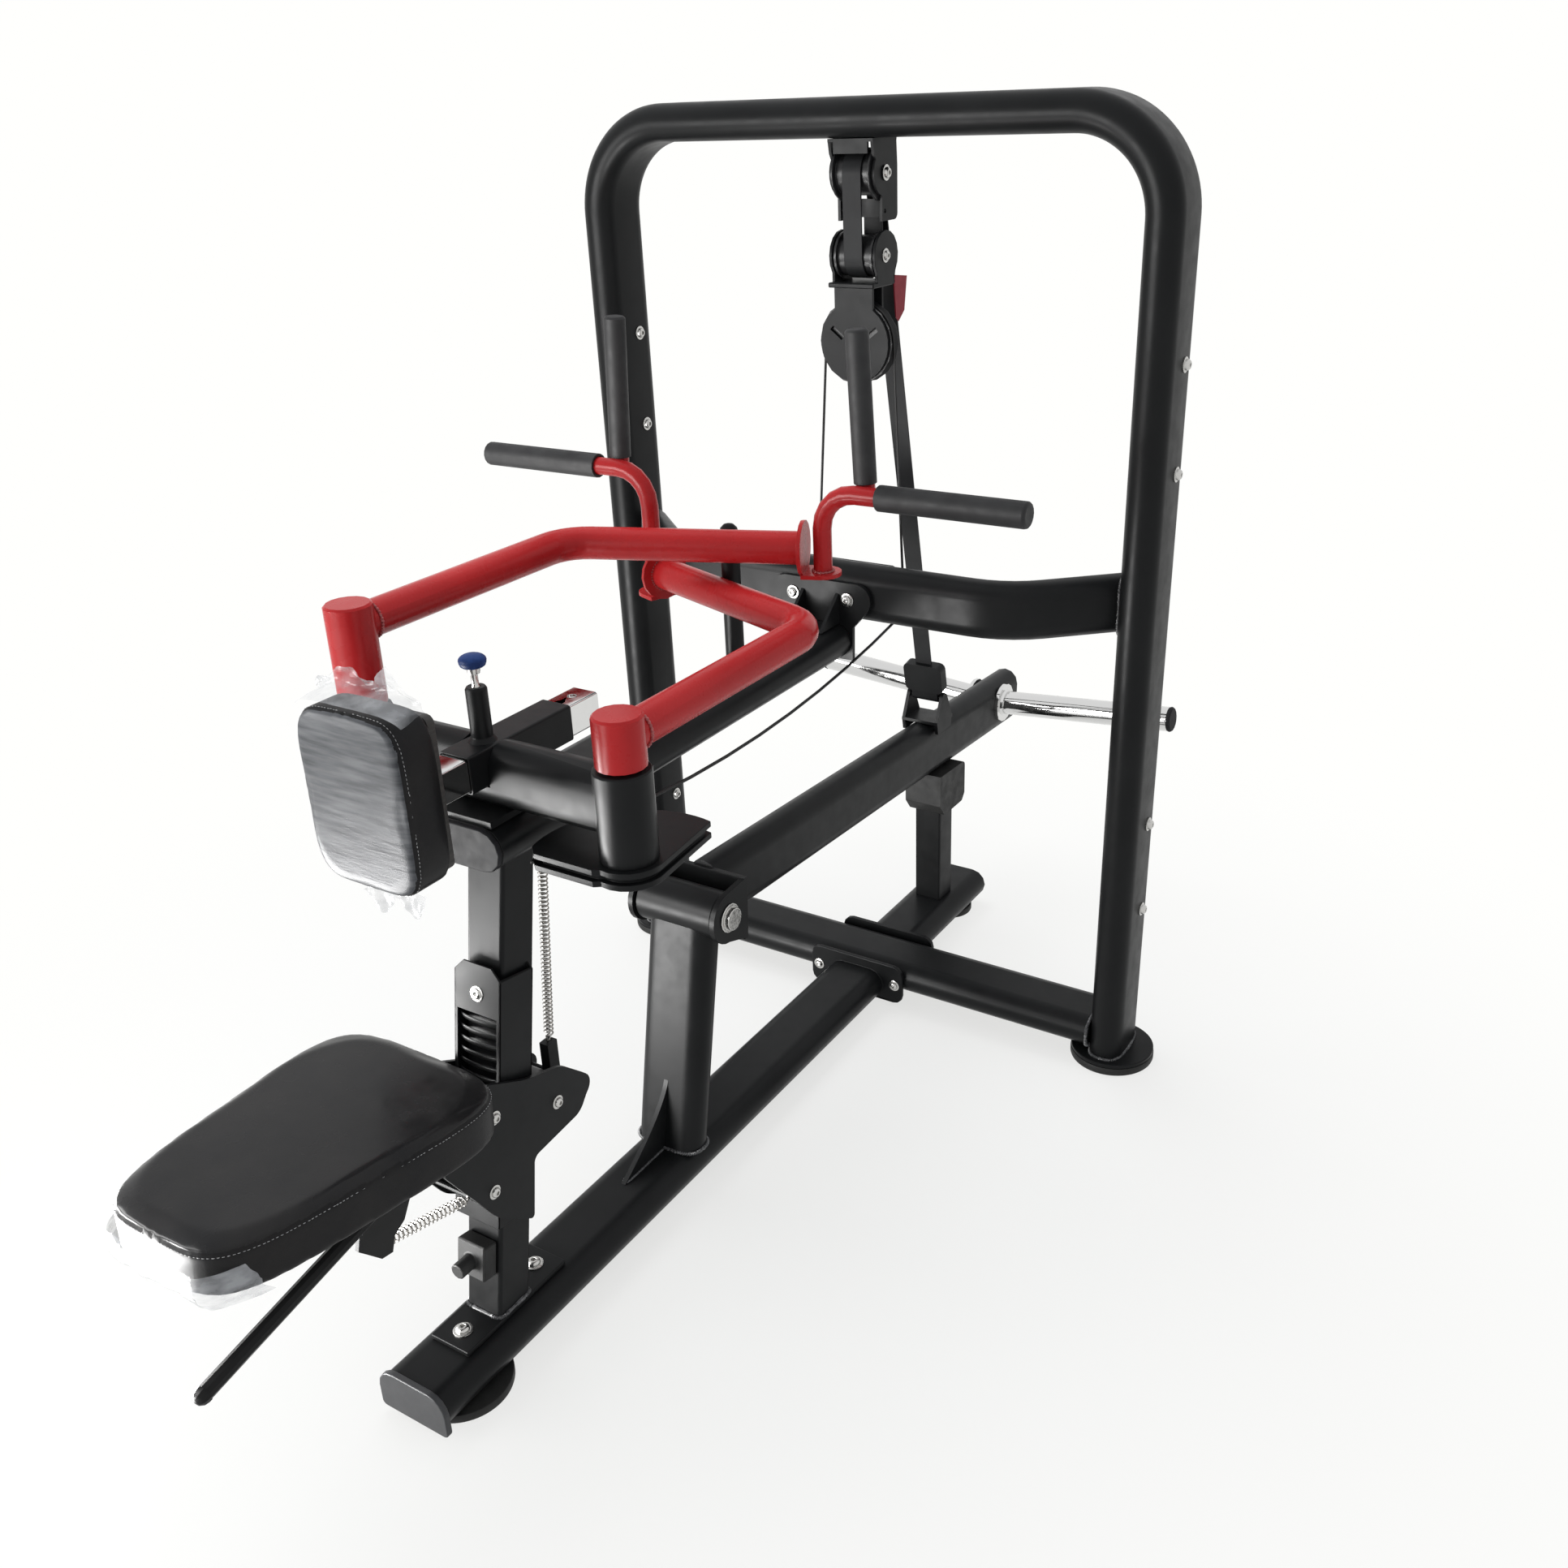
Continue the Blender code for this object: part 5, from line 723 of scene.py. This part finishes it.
def vinyl_under_film(name, streaks, wrinkle, coat, coat_ior, specular, milk_and_sheen):
    """Black vinyl with leather grain, under a clear film whose stretch lines lie in the coat's bump.

    The haze lifts the base colour to two greys in long streaks: partly the tight film's milkiness, partly painted sheen
    standing in for the light the front reflects.
    """
    material, nodes, links, shader = new_finish(name, (0.012, 0.012, 0.013), 0.42)
    streaky = place_noise(nodes, links, 15.0, 6.0, streaks)
    links.new(two_tone(nodes, links, streaky, (0.010 + 0.35 * milk_and_sheen, 0.010 + 0.37 * milk_and_sheen, 0.011 + 0.41 * milk_and_sheen),
                       (0.017 + milk_and_sheen, 0.016 + 1.04 * milk_and_sheen, 0.016 + 1.1 * milk_and_sheen)), shader.inputs["Base Color"])
    cell = nodes.new("ShaderNodeTexVoronoi")
    cell.inputs["Scale"].default_value = 620
    coords = nodes.new("ShaderNodeTexCoord")
    links.new(coords.outputs["Object"], cell.inputs["Vector"])
    grain_bump(nodes, links, shader, cell.outputs["Distance"], 0.25, 0.0003)
    shader.inputs["Specular IOR Level"].default_value = specular
    shader.inputs["Coat Weight"].default_value = coat
    shader.inputs["Coat IOR"].default_value = coat_ior
    clouded(nodes, links, shader, (0.10, 0.34), 26.0, 4.0, streaks, socket="Coat Roughness")
    lines = place_noise(nodes, links, wrinkle, 6.0, streaks)
    grain_bump(nodes, links, shader, lines, 0.35, 0.0010, "Coat Normal")
    return material


def banded(piece, axis, front, side):
    """Front material where a pad faces along its axis, side material on the band sewn round it."""
    piece.data.materials.append(front)
    piece.data.materials.append(side)
    ahead = values_of(piece.data.polygons, "normal") @ np.array(axis)
    piece.data.polygons.foreach_set("material_index", (ahead < 0.5).astype(np.int32))


def pad_shape(half_low, half_high, long, thick, corner, rows=26, cols=120):
    """Pad before it is stuffed: rings of one rounded outline, stepped in at the rims like a loaf.

    The outline is a superellipse |x|^p + |y|^p = 1 whose half width runs from low to high along its
    length; the ring's inset follows a quarter circle at the rims, and the two faces close in rings.
    """
    unit_x, unit_y = superellipse(round_section(cols) + 0.01, corner)
    rim = 0.006
    quarter = np.linspace(0, np.pi / 2, 5)
    inset = np.concatenate([np.linspace(0.9, 0.06, 8), rim * (1 - np.sin(quarter)), rim * (1 - np.sin(quarter))[::-1],
                            np.linspace(0.06, 0.9, 8)])
    is_face = np.concatenate([np.ones(8), np.zeros(10), np.ones(8)]).astype(bool)
    high = np.concatenate([np.zeros(8), rim * (1 - np.cos(quarter)), thick - rim * (1 - np.cos(quarter))[::-1],
                           np.full(8, thick)])
    half = (half_low + half_high) / 2 + (half_high - half_low) / 2 * unit_y
    edge = np.where(is_face, 0, inset)
    scale = np.where(is_face, 1 - inset, 1)
    x = unit_x * (half - rim * is_face[:, None] - edge[:, None]) * scale[:, None]
    y = unit_y * (long / 2 - rim * is_face[:, None] - edge[:, None]) * scale[:, None]
    z = np.repeat(high[:, None], cols, 1)
    return grid_tube(np.stack([x, y, z], -1))


def stuffed(name, shape, frame_matrix, voxel, cap, soft_above):
    """Pad swelled by cloth pressure: remeshed, blown up for 20 steps, the moves evened out and capped.

    Points lower than soft_above lie on the board and stay; above it the move fades in over 12 mm.
    """
    piece = mesh_piece(name, *shape)
    fine = piece.modifiers.new("voxels", "REMESH")
    fine.mode = "VOXEL"
    fine.voxel_size = voxel
    fine.use_smooth_shade = True
    rest = applied(piece)
    piece.data = rest
    before = values_of(rest.vertices, "co")
    move = np.zeros_like(before)
    held = piece.vertex_groups.new(name="held")
    held.add([int(k) for k in np.flatnonzero(before[:, 2] < soft_above)], 1.0, "REPLACE")
    cloth = piece.modifiers.new("stuffing", "CLOTH")
    cloth.settings.vertex_group_mass = "held"
    cloth.settings.use_pressure = True
    cloth.settings.uniform_pressure_force = 4.0
    cloth.settings.tension_stiffness = 25.0
    cloth.settings.bending_stiffness = 2.0
    cloth.settings.effector_weights.gravity = 0.0
    cloth.point_cache.frame_start = 1
    cloth.point_cache.frame_end = 20
    for step in range(1, 21):
        bpy.context.scene.frame_set(step)
    move = values_of(applied(piece).vertices, "co") - before
    bpy.context.scene.frame_set(1)
    edges = values_of(rest.edges, "vertices", 2, int)
    first, second = edges.T
    shares = np.bincount(edges.ravel(), minlength=len(before))[:, None]
    for _ in range(60):
        total = np.stack([np.bincount(first, move[second, k], len(before))
                          + np.bincount(second, move[first, k], len(before)) for k in range(3)], 1)
        move = 0.4 * move + 0.6 * total / shares
    outward = values_of(rest.vertices, "normal")
    move = outward * np.clip((move * outward).sum(1, keepdims=True), 0, cap)
    move *= np.clip((before[:, 2:] - soft_above) / 0.012, 0, 1)
    rest.vertices.foreach_set("co", (before + move).ravel())
    rest.transform(frame_matrix)
    rest.update()
    finer = piece.modifiers.new("finer", "SUBSURF")
    finer.levels = 1
    finer.render_levels = 1
    piece.data = applied(piece)
    return piece


def sewn(piece, to_local, half_low, half_high, long, corner, seam_z, inset, depth):
    """Seam line and stitches on a pad: points near the seam's path are drawn in by a bell curve.

    Returns the places and directions of the stitches, 5.2 mm apart beside the seam.
    """
    unit_x, unit_y = superellipse(round_section(1440), corner)
    half = (half_low + half_high) / 2 + (half_high - half_low) / 2 * unit_y
    path = np.stack([unit_x * (half - inset), unit_y * (long / 2 - inset), np.full(1440, seam_z)], 1)
    mesh = piece.data
    count = len(mesh.vertices)
    back = np.array(to_local.inverted())
    local = values_of(mesh.vertices, "co") @ back[:3, :3].T + back[:3, 3]
    normals = values_of(mesh.vertices, "normal") @ back[:3, :3].T
    sides = [tuple(f.vertices) for f in mesh.polygons]
    tree = BVHTree.FromPolygons([Vector(p) for p in local.tolist()], sides)
    on_skin = np.array([tree.find_nearest(Vector(p))[0] for p in path.tolist()])
    near = np.full(count, 1.0)
    for chunk in np.array_split(np.arange(count), max(1, count // 4000)):
        gap = np.linalg.norm(local[chunk, None, :] - on_skin[None, ::3, :], axis=2)
        near[chunk] = gap.min(1)
    local -= normals * (depth * np.exp(-(near / 0.0026) ** 2))[:, None]
    forward = np.array(to_local)
    mesh.vertices.foreach_set("co", (local @ forward[:3, :3].T + forward[:3, 3]).ravel())
    mesh.update()
    skin = BVHTree.FromPolygons([Vector(p) for p in local.tolist()], sides)
    length = np.concatenate([[0], np.cumsum(np.linalg.norm(np.diff(on_skin, axis=0), axis=1))])
    stops = np.arange(0, length[-1], 0.0052)
    beside = path.copy()
    beside[:, 2] -= 0.0045
    beside[:, :2] *= 1.004
    beside_skin = [skin.find_nearest(Vector(p)) for p in beside[::2].tolist()]
    spots = np.array([b[0] for b in beside_skin])
    ways = np.array([b[1] for b in beside_skin])
    at = np.interp(stops, length, np.arange(len(length))) / 2
    index = np.clip(at.round().astype(int), 0, len(spots) - 2)
    along = np.roll(spots, -1, 0)[index] - spots[index]
    along /= np.maximum(np.linalg.norm(along, axis=1, keepdims=True), 1e-9)
    return spots[index], along, ways[index]


def stitches(name, spots, along, ways, matrix, material, body):
    """Short thread humps: each an arch of six rings with four sides, half sunk in the vinyl."""
    u = np.linspace(-1, 1, 6)
    ring = np.radians([45, 135, 225, 315])
    out = np.cross(along, ways)
    centre = (spots[:, None] + along[:, None] * (u * 0.0017)[None, :, None]
              + ways[:, None] * ((1 - u ** 2) * 0.0005 - 0.0001)[None, :, None])
    thick = 0.00042 * np.sqrt(np.clip(1.05 - u ** 2, 0.05, 1))
    around = (np.cos(ring)[None, None, :, None] * ways[:, None, None, :]
              + np.sin(ring)[None, None, :, None] * out[:, None, None, :])
    points = centre[:, :, None] + thick[None, :, None, None] * around
    forward = np.array(matrix)
    humps = points @ forward[:3, :3].T + forward[:3, 3] - np.array(ARCH)
    return gathered(name, [grid_tube(hump) for hump in humps], material, body)


thread = patchy("grey_black_thread", (0.06, 0.06, 0.062), 0.5, (500.0,), (0.22, 0.22, 0.22), (0.55, 0.55, 0.55))[0]

CHEST_PAD = dict(half_low=0.0845, half_high=0.0845, long=0.225, corner=5.2)
CHEST_THICK = 0.060
chest_matrix = (Matrix.Translation(ARCH + Vector((0, -1.1465, 0.916)))
                @ Matrix(((1, 0, 0, 0), (0, 0, -1, 0), (0, 1, 0, 0), (0, 0, 0, 1))))
chest_pad = stuffed("chest_pad_cover", pad_shape(thick=CHEST_THICK, **CHEST_PAD), chest_matrix, 0.0045, 0.003, 0.004)
# The front vinyl's grey of 0.125 is partly the film's milkiness and partly painted sheen, the light the front reflects.
chest_vinyl = vinyl_under_film("vinyl_under_tight_film", (1.0, 1.0, 9.0), 34.0, 0.16, 1.36, 0.04, 0.125)
band_vinyl = vinyl_under_film("side_band_vinyl", (1.0, 1.0, 1.0), 14.0, 0.1, 1.3, 0.10, 0.0)
banded(chest_pad, (0, -1, 0), chest_vinyl, band_vinyl)
sew = sewn(chest_pad, chest_matrix, seam_z=CHEST_THICK - 0.004, inset=0.0015, depth=0.0018, **CHEST_PAD)
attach(chest_pad, "chest_rest")
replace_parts(chest_pad, "chest_pad")
stitches("chest_pad_stitches", *sew, chest_matrix, thread, "chest_rest")

film = clear_film("clear_polythene")
u, v = np.meshgrid(np.linspace(0, 1, 90), np.linspace(0, 1, 26))
peak = 0.014 + 0.026 * np.exp(-((u - 0.72) / 0.13) ** 2) + 0.014 * np.exp(-((u - 0.30) / 0.16) ** 2)
shake = shaken(3, 3, u, v * 0.4)
top_film = np.stack([-0.086 + 0.172 * u + 0.004 * shaken(8, 3, u, v),
                     -1.200 + 0.040 * np.minimum(v * 2.2, 1) + 0.007 * shake * v,
                     1.0345 - 0.010 * (np.abs(2 * u - 1) ** 6) + (peak + 0.005 * shaken(5, 4, u, v)) * v ** 1.3], -1)
crumpled_sheet("chest_film_top", top_film, film, "chest_rest")
u, v = np.meshgrid(np.linspace(0, 1, 60), np.linspace(0, 1, 24))
drop = 0.012 + 0.024 * np.exp(-((u - 0.30) / 0.16) ** 2) + 0.020 * np.exp(-((u - 0.90) / 0.12) ** 2)
low_film = np.stack([-0.020 + 0.092 * u - 0.006 * v, -1.186 + 0.006 * shaken(11, 4, u, v * 0.5) * v - 0.006 * v,
                     0.8030 - drop * v + 0.002 * shaken(12, 3, u, v) * v], -1)
crumpled_sheet("chest_film_low", low_film, film, "chest_rest")


# ---- Seat: pad, rack, stop, latch lever, rollers and springs ----
# The seat pad is foam on a board under black vinyl, a top panel sewn to a side band. Its carriage
# rolls on the post; a latch strip worked by a long black hand bar drops into the rack's louvres.

SEAT_PAD = dict(half_low=0.158, half_high=0.110, long=0.414, corner=4.6)
SEAT_THICK = 0.066
SEAT_SLOPE = -0.061
seat_ahead = Vector((0, -1, -SEAT_SLOPE)).normalized()
seat_up = Vector((-1, 0, 0)).cross(seat_ahead)
seat_mid = Vector((0, -1.370, 0.4785 + SEAT_SLOPE * (-1.370 + 1.160) + 0.0010))
seat_matrix = Matrix((Vector((-1, 0, 0)), seat_ahead, seat_up)).transposed().to_4x4()
seat_matrix.translation = seat_mid + ARCH
seat_pad = stuffed("seat_pad_cover", pad_shape(thick=SEAT_THICK - 0.004, **SEAT_PAD), seat_matrix, 0.0055, 0.006, 0.006)
seat_vinyl = vinyl_under_film("vinyl_under_loose_film", (1.0, 1.0, 1.0), 4.0, 0.8, 1.25, 0.06, 0.002)
banded(seat_pad, seat_up, seat_vinyl, band_vinyl)
sew = sewn(seat_pad, seat_matrix, seam_z=SEAT_THICK - 0.008, inset=0.001, depth=0.0020, **SEAT_PAD)
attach(seat_pad, "seat_body")
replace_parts(seat_pad, "seat_pad")
stitches("seat_pad_stitches", *sew, seat_matrix, thread, "seat_body")

u, v = np.meshgrid(np.linspace(0, 1, 120), np.linspace(0, 1, 22))
turn = np.clip(np.abs(2 * u - 1) - 0.62, 0, None) / 0.38
local_x = (2 * u - 1) * 0.1115 * (1 - 0.03 * turn)
local_y = 0.2105 - 0.060 * turn ** 2 + 0.002 + 0.0035 * np.sin(np.pi * v) + 0.0025 * shaken(21, 4, u * 2, v) * v
local_y -= 0.030 * np.clip(v - 0.62, 0, 1)
local_z = 0.036 - 0.048 * v + 0.003 * shaken(22, 3, u, v)
forward = np.array(seat_matrix)
seat_film = np.stack([local_x, local_y, local_z], -1) @ forward[:3, :3].T + forward[:3, 3] - np.array(ARCH)
crumpled_sheet("seat_film_front", seat_film, film, "seat_body")

bar_black = sprayed("dipped_black", (0.010, 0.010, 0.010), (0.018, 0.018, 0.018), (0.34, 0.46), 500.0, 0.12)
rounded_copy("seat_latch_lever", bar_black, 0.0008)
roller_nylon = moulded("roller_nylon", (0.02, 0.02, 0.02), (0.035, 0.035, 0.035), (0.35, 0.5), 500.0, 0.0002)
for node in ("front_upper_roller", "front_lower_roller", "rear_roller"):
    rounded_copy(node, roller_nylon, 0.0010)

POST_UP = np.array((0, 0.18, 1)) / math.hypot(0.18, 1)
POST_REAR = np.array((0, POST_UP[2], -POST_UP[1]))
POST_ROOT = np.array((0, -1.122, 0))


def on_post(x, rearward, height):
    """Points from post coordinates: across, rearward from the post's middle, and up along the post."""
    x, rearward, height = np.broadcast_arrays(*(np.asarray(v, float) for v in (x, rearward, height)))
    return (POST_ROOT + x[..., None] * np.array(X) + rearward[..., None] * POST_REAR
            + height[..., None] * POST_UP)


RACK_FRONT, RACK_HALF, SHEET = -0.0451, 0.0405, 0.003


def rack_plate(outline, near, far):
    """Flat plate: an outline of (across, height) points given a depth from near to far."""
    across, height = np.array(outline, float).T
    return grid_tube(np.stack([on_post(across, near, height), on_post(across, far, height)]))


rack = [rack_plate([(-RACK_HALF, 0.548), (RACK_HALF, 0.548), (RACK_HALF, 0.604), (0.0245, 0.620), (-0.0245, 0.620),
                    (-RACK_HALF, 0.604)], RACK_FRONT, RACK_FRONT + SHEET)]
rack.append(rack_plate([(-RACK_HALF, 0.235), (RACK_HALF, 0.235), (RACK_HALF, 0.262), (-RACK_HALF, 0.262)],
                       RACK_FRONT, RACK_FRONT + SHEET))
for side in (-1, 1):
    edge, inner = side * RACK_HALF, side * (RACK_HALF - SHEET)
    rack.append(rack_plate([(inner, 0.235), (edge, 0.235), (edge, 0.604), (inner, 0.606)], RACK_FRONT, 0.0195))
    rack.append(rack_plate([(side * 0.0325, 0.235), (edge, 0.235), (edge, 0.604), (side * 0.0325, 0.612)],
                           0.0165, 0.0195))
    rack.append(rack_plate([(side * 0.0345, 0.260), (edge, 0.260), (edge, 0.550), (side * 0.0345, 0.550)],
                           RACK_FRONT, RACK_FRONT + SHEET))
rack_channel = gathered("seat_rack_channel", rack, black_paint, "frame", False)
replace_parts(rack_channel, "seat_rack")
ease = rack_channel.modifiers.new("eased_edges", "BEVEL")
ease.width = 0.0007
ease.segments = 2
rungs = []
for height in np.arange(0.5374, 0.268, -0.0163):
    across = np.linspace(-0.0350, 0.0350, 17)
    bow = 0.0044 * (1 - (across / 0.0350) ** 2) ** 0.7
    ring = round_section(14)
    deep, thick = 0.0052 * np.cos(ring), 0.0017 * np.sin(ring)
    rearward = RACK_FRONT + 0.0082 - bow[:, None] + (deep * 0.42 + thick * 0.91)[None, :]
    up = height - 0.0010 - bow[:, None] * 0.3 + (-deep * 0.91 + thick * 0.42)[None, :]
    rungs.append(grid_tube(on_post(across[:, None], rearward, up)))
gathered("seat_rack_louvres", rungs, black_paint, "frame")
gathered("seat_rack_screw", [button_bolt(on_post(0.0, RACK_FRONT, 0.5775), tuple(-POST_REAR), 0.0078, 0.55)],
         stainless, "frame")


def wire_coil(start, end, radius, wire, turns, hook):
    """Coil: a helix of even pitch with a round section, and a hook of three quarters of a turn at each end."""
    start, end = np.array(start, float), np.array(end, float)
    axis = end - start
    long = np.linalg.norm(axis)
    axis /= long
    side = np.cross(axis, (1.0, 0.0, 0.0) if abs(axis[0]) < 0.9 else (0.0, 1.0, 0.0))
    side /= np.linalg.norm(side)
    other = np.cross(axis, side)
    body_from, body_to = hook * 1.7, long - hook * 1.7
    turn = np.linspace(0, 2 * np.pi * turns, turns * 14 + 1)
    radial = np.cos(turn)[:, None] * side + np.sin(turn)[:, None] * other
    path = start + radial * radius + axis * np.linspace(body_from, body_to, len(turn))[:, None]
    parts = [round_tube(path, wire, radial, axis, 6)]
    for centre, way in ((start, 1), (end, -1)):
        bend = np.radians(np.linspace(-60, 210, 19))
        spoke = np.sin(bend)[:, None] * side - np.cos(bend)[:, None] * axis * way
        middle = centre + axis * way * hook * 0.8
        parts.append(round_tube(middle + spoke * hook, wire, spoke, other, 6))
    return parts


spring_steel = scuffed_steel("spring_steel", (0.30, 0.29, 0.275), (0.22, 0.38), 90.0)
SPRING_TOP, SPRING_LOW = Vector((0, -0.906, 0.7590)), Vector((0, -0.9415, 0.4290))
seat_spring = gathered("seat_spring_wire", wire_coil(SPRING_TOP, SPRING_LOW, 0.0061, 0.0013, 50, 0.0052),
                       spring_steel, None)
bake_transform(seat_spring)
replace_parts(seat_spring, "counterbalance_spring")
lever_spring = gathered("latch_spring_wire", wire_coil((0.024, -1.3095, 0.3506), (0.024, -1.1560, 0.3104), 0.0066,
                                                        0.0015, 19, 0.0046), spring_steel, "seat_body")
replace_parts(lever_spring, "latch_spring")


# ---- Cable, pulleys and belt ----
# A plastic-coated steel cable runs from cam to cam over guide pulleys and the floating pulley; a flat
# reinforced rubber belt hangs that pulley from the hanger and lifts the lever through a clamp.

for node in ("cable_pulley", "upper_belt_pulley", "lower_belt_pulley", "left_guide_pulley", "right_guide_pulley"):
    rounded_copy(node, pulley_nylon, 0.0012, segments=3)
cable_cover = moulded("cable_jacket", (0.008, 0.008, 0.008), (0.014, 0.014, 0.014), (0.30, 0.45), 700.0, 0.0001)
cable = rounded_copy("pull_cable", cable_cover, 0.0003, 60, rides=False)
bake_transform(cable)
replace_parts(cable, "pull_cable")
belt_rubber, nodes, links, shader, _ = patchy("belt_rubber", (0.018, 0.018, 0.019), 0.5, (16.0,),
                                              (0.013, 0.013, 0.014), (0.022, 0.023, 0.024), 0.12)
grain_bump(nodes, links, shader, place_noise(nodes, links, 700.0, 2.0, (1, 1, 0.15)), 0.3, 0.0002)
# The belt in two runs, told apart by the middle of each face. Each flat side of the belt is one face over
# its whole length, so the loop holds both sides, also those beside the tail.
tail = rounded_copy("belt", belt_rubber, 0.0005, rides=False,
                    keeps=lambda at: at.y > 0.001 and (at.z > 1.50 or at.z < 1.30))
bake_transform(tail)
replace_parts(tail, "belt")
tail.name = "belt_tail"
loop = rounded_copy("belt", belt_rubber, 0.0005, rides=False,
                    keeps=lambda at: at.z > 1.30 and (at.y < 0.001 or at.z < 1.50))
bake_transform(loop)
loop.name = "belt_loop"

tag_red = patchy("red_plastic", (0.30, 0.03, 0.04), 0.45, (60.0,), (0.28, 0.026, 0.038), (0.36, 0.036, 0.05), 0.15)[0]
tag_outline = np.array([(0.0245, 1.3640), (0.0700, 1.3580), (0.0610, 1.3040), (0.0410, 1.2885), (0.0320, 1.2960)])
tag = np.array([[(x, y, z) for y, z in tag_outline] for x in (0.0405, 0.0425)])
gathered("block_bolts", [button_bolt((side * 0.0426, -0.004, 1.3970), (side, 0, 0), 0.0078) for side in (-1, 1)],
         stainless, "block_body")
gathered("belt_tail_tag", [grid_tube(tag)], tag_red, "block_body", False)


# ---- Lever, its pivot bolt and the weight horns ----
# The lever pivots on a shouldered bolt in the middle post; the horns are chromed round bar pressed
# into welded flanges near its rear end.

rounded_copy("lever_pivot_bolt", stainless, 0.0012)
for node in ("left_horn", "right_horn"):
    rounded_copy(node, chrome, 0.0010)


# ---- Whatever is left is given the black paint ----

for node, piece in frame["nodes"].items():
    if not piece.hide_render:
        piece.data.materials.clear()
        piece.data.materials.append(black_paint)
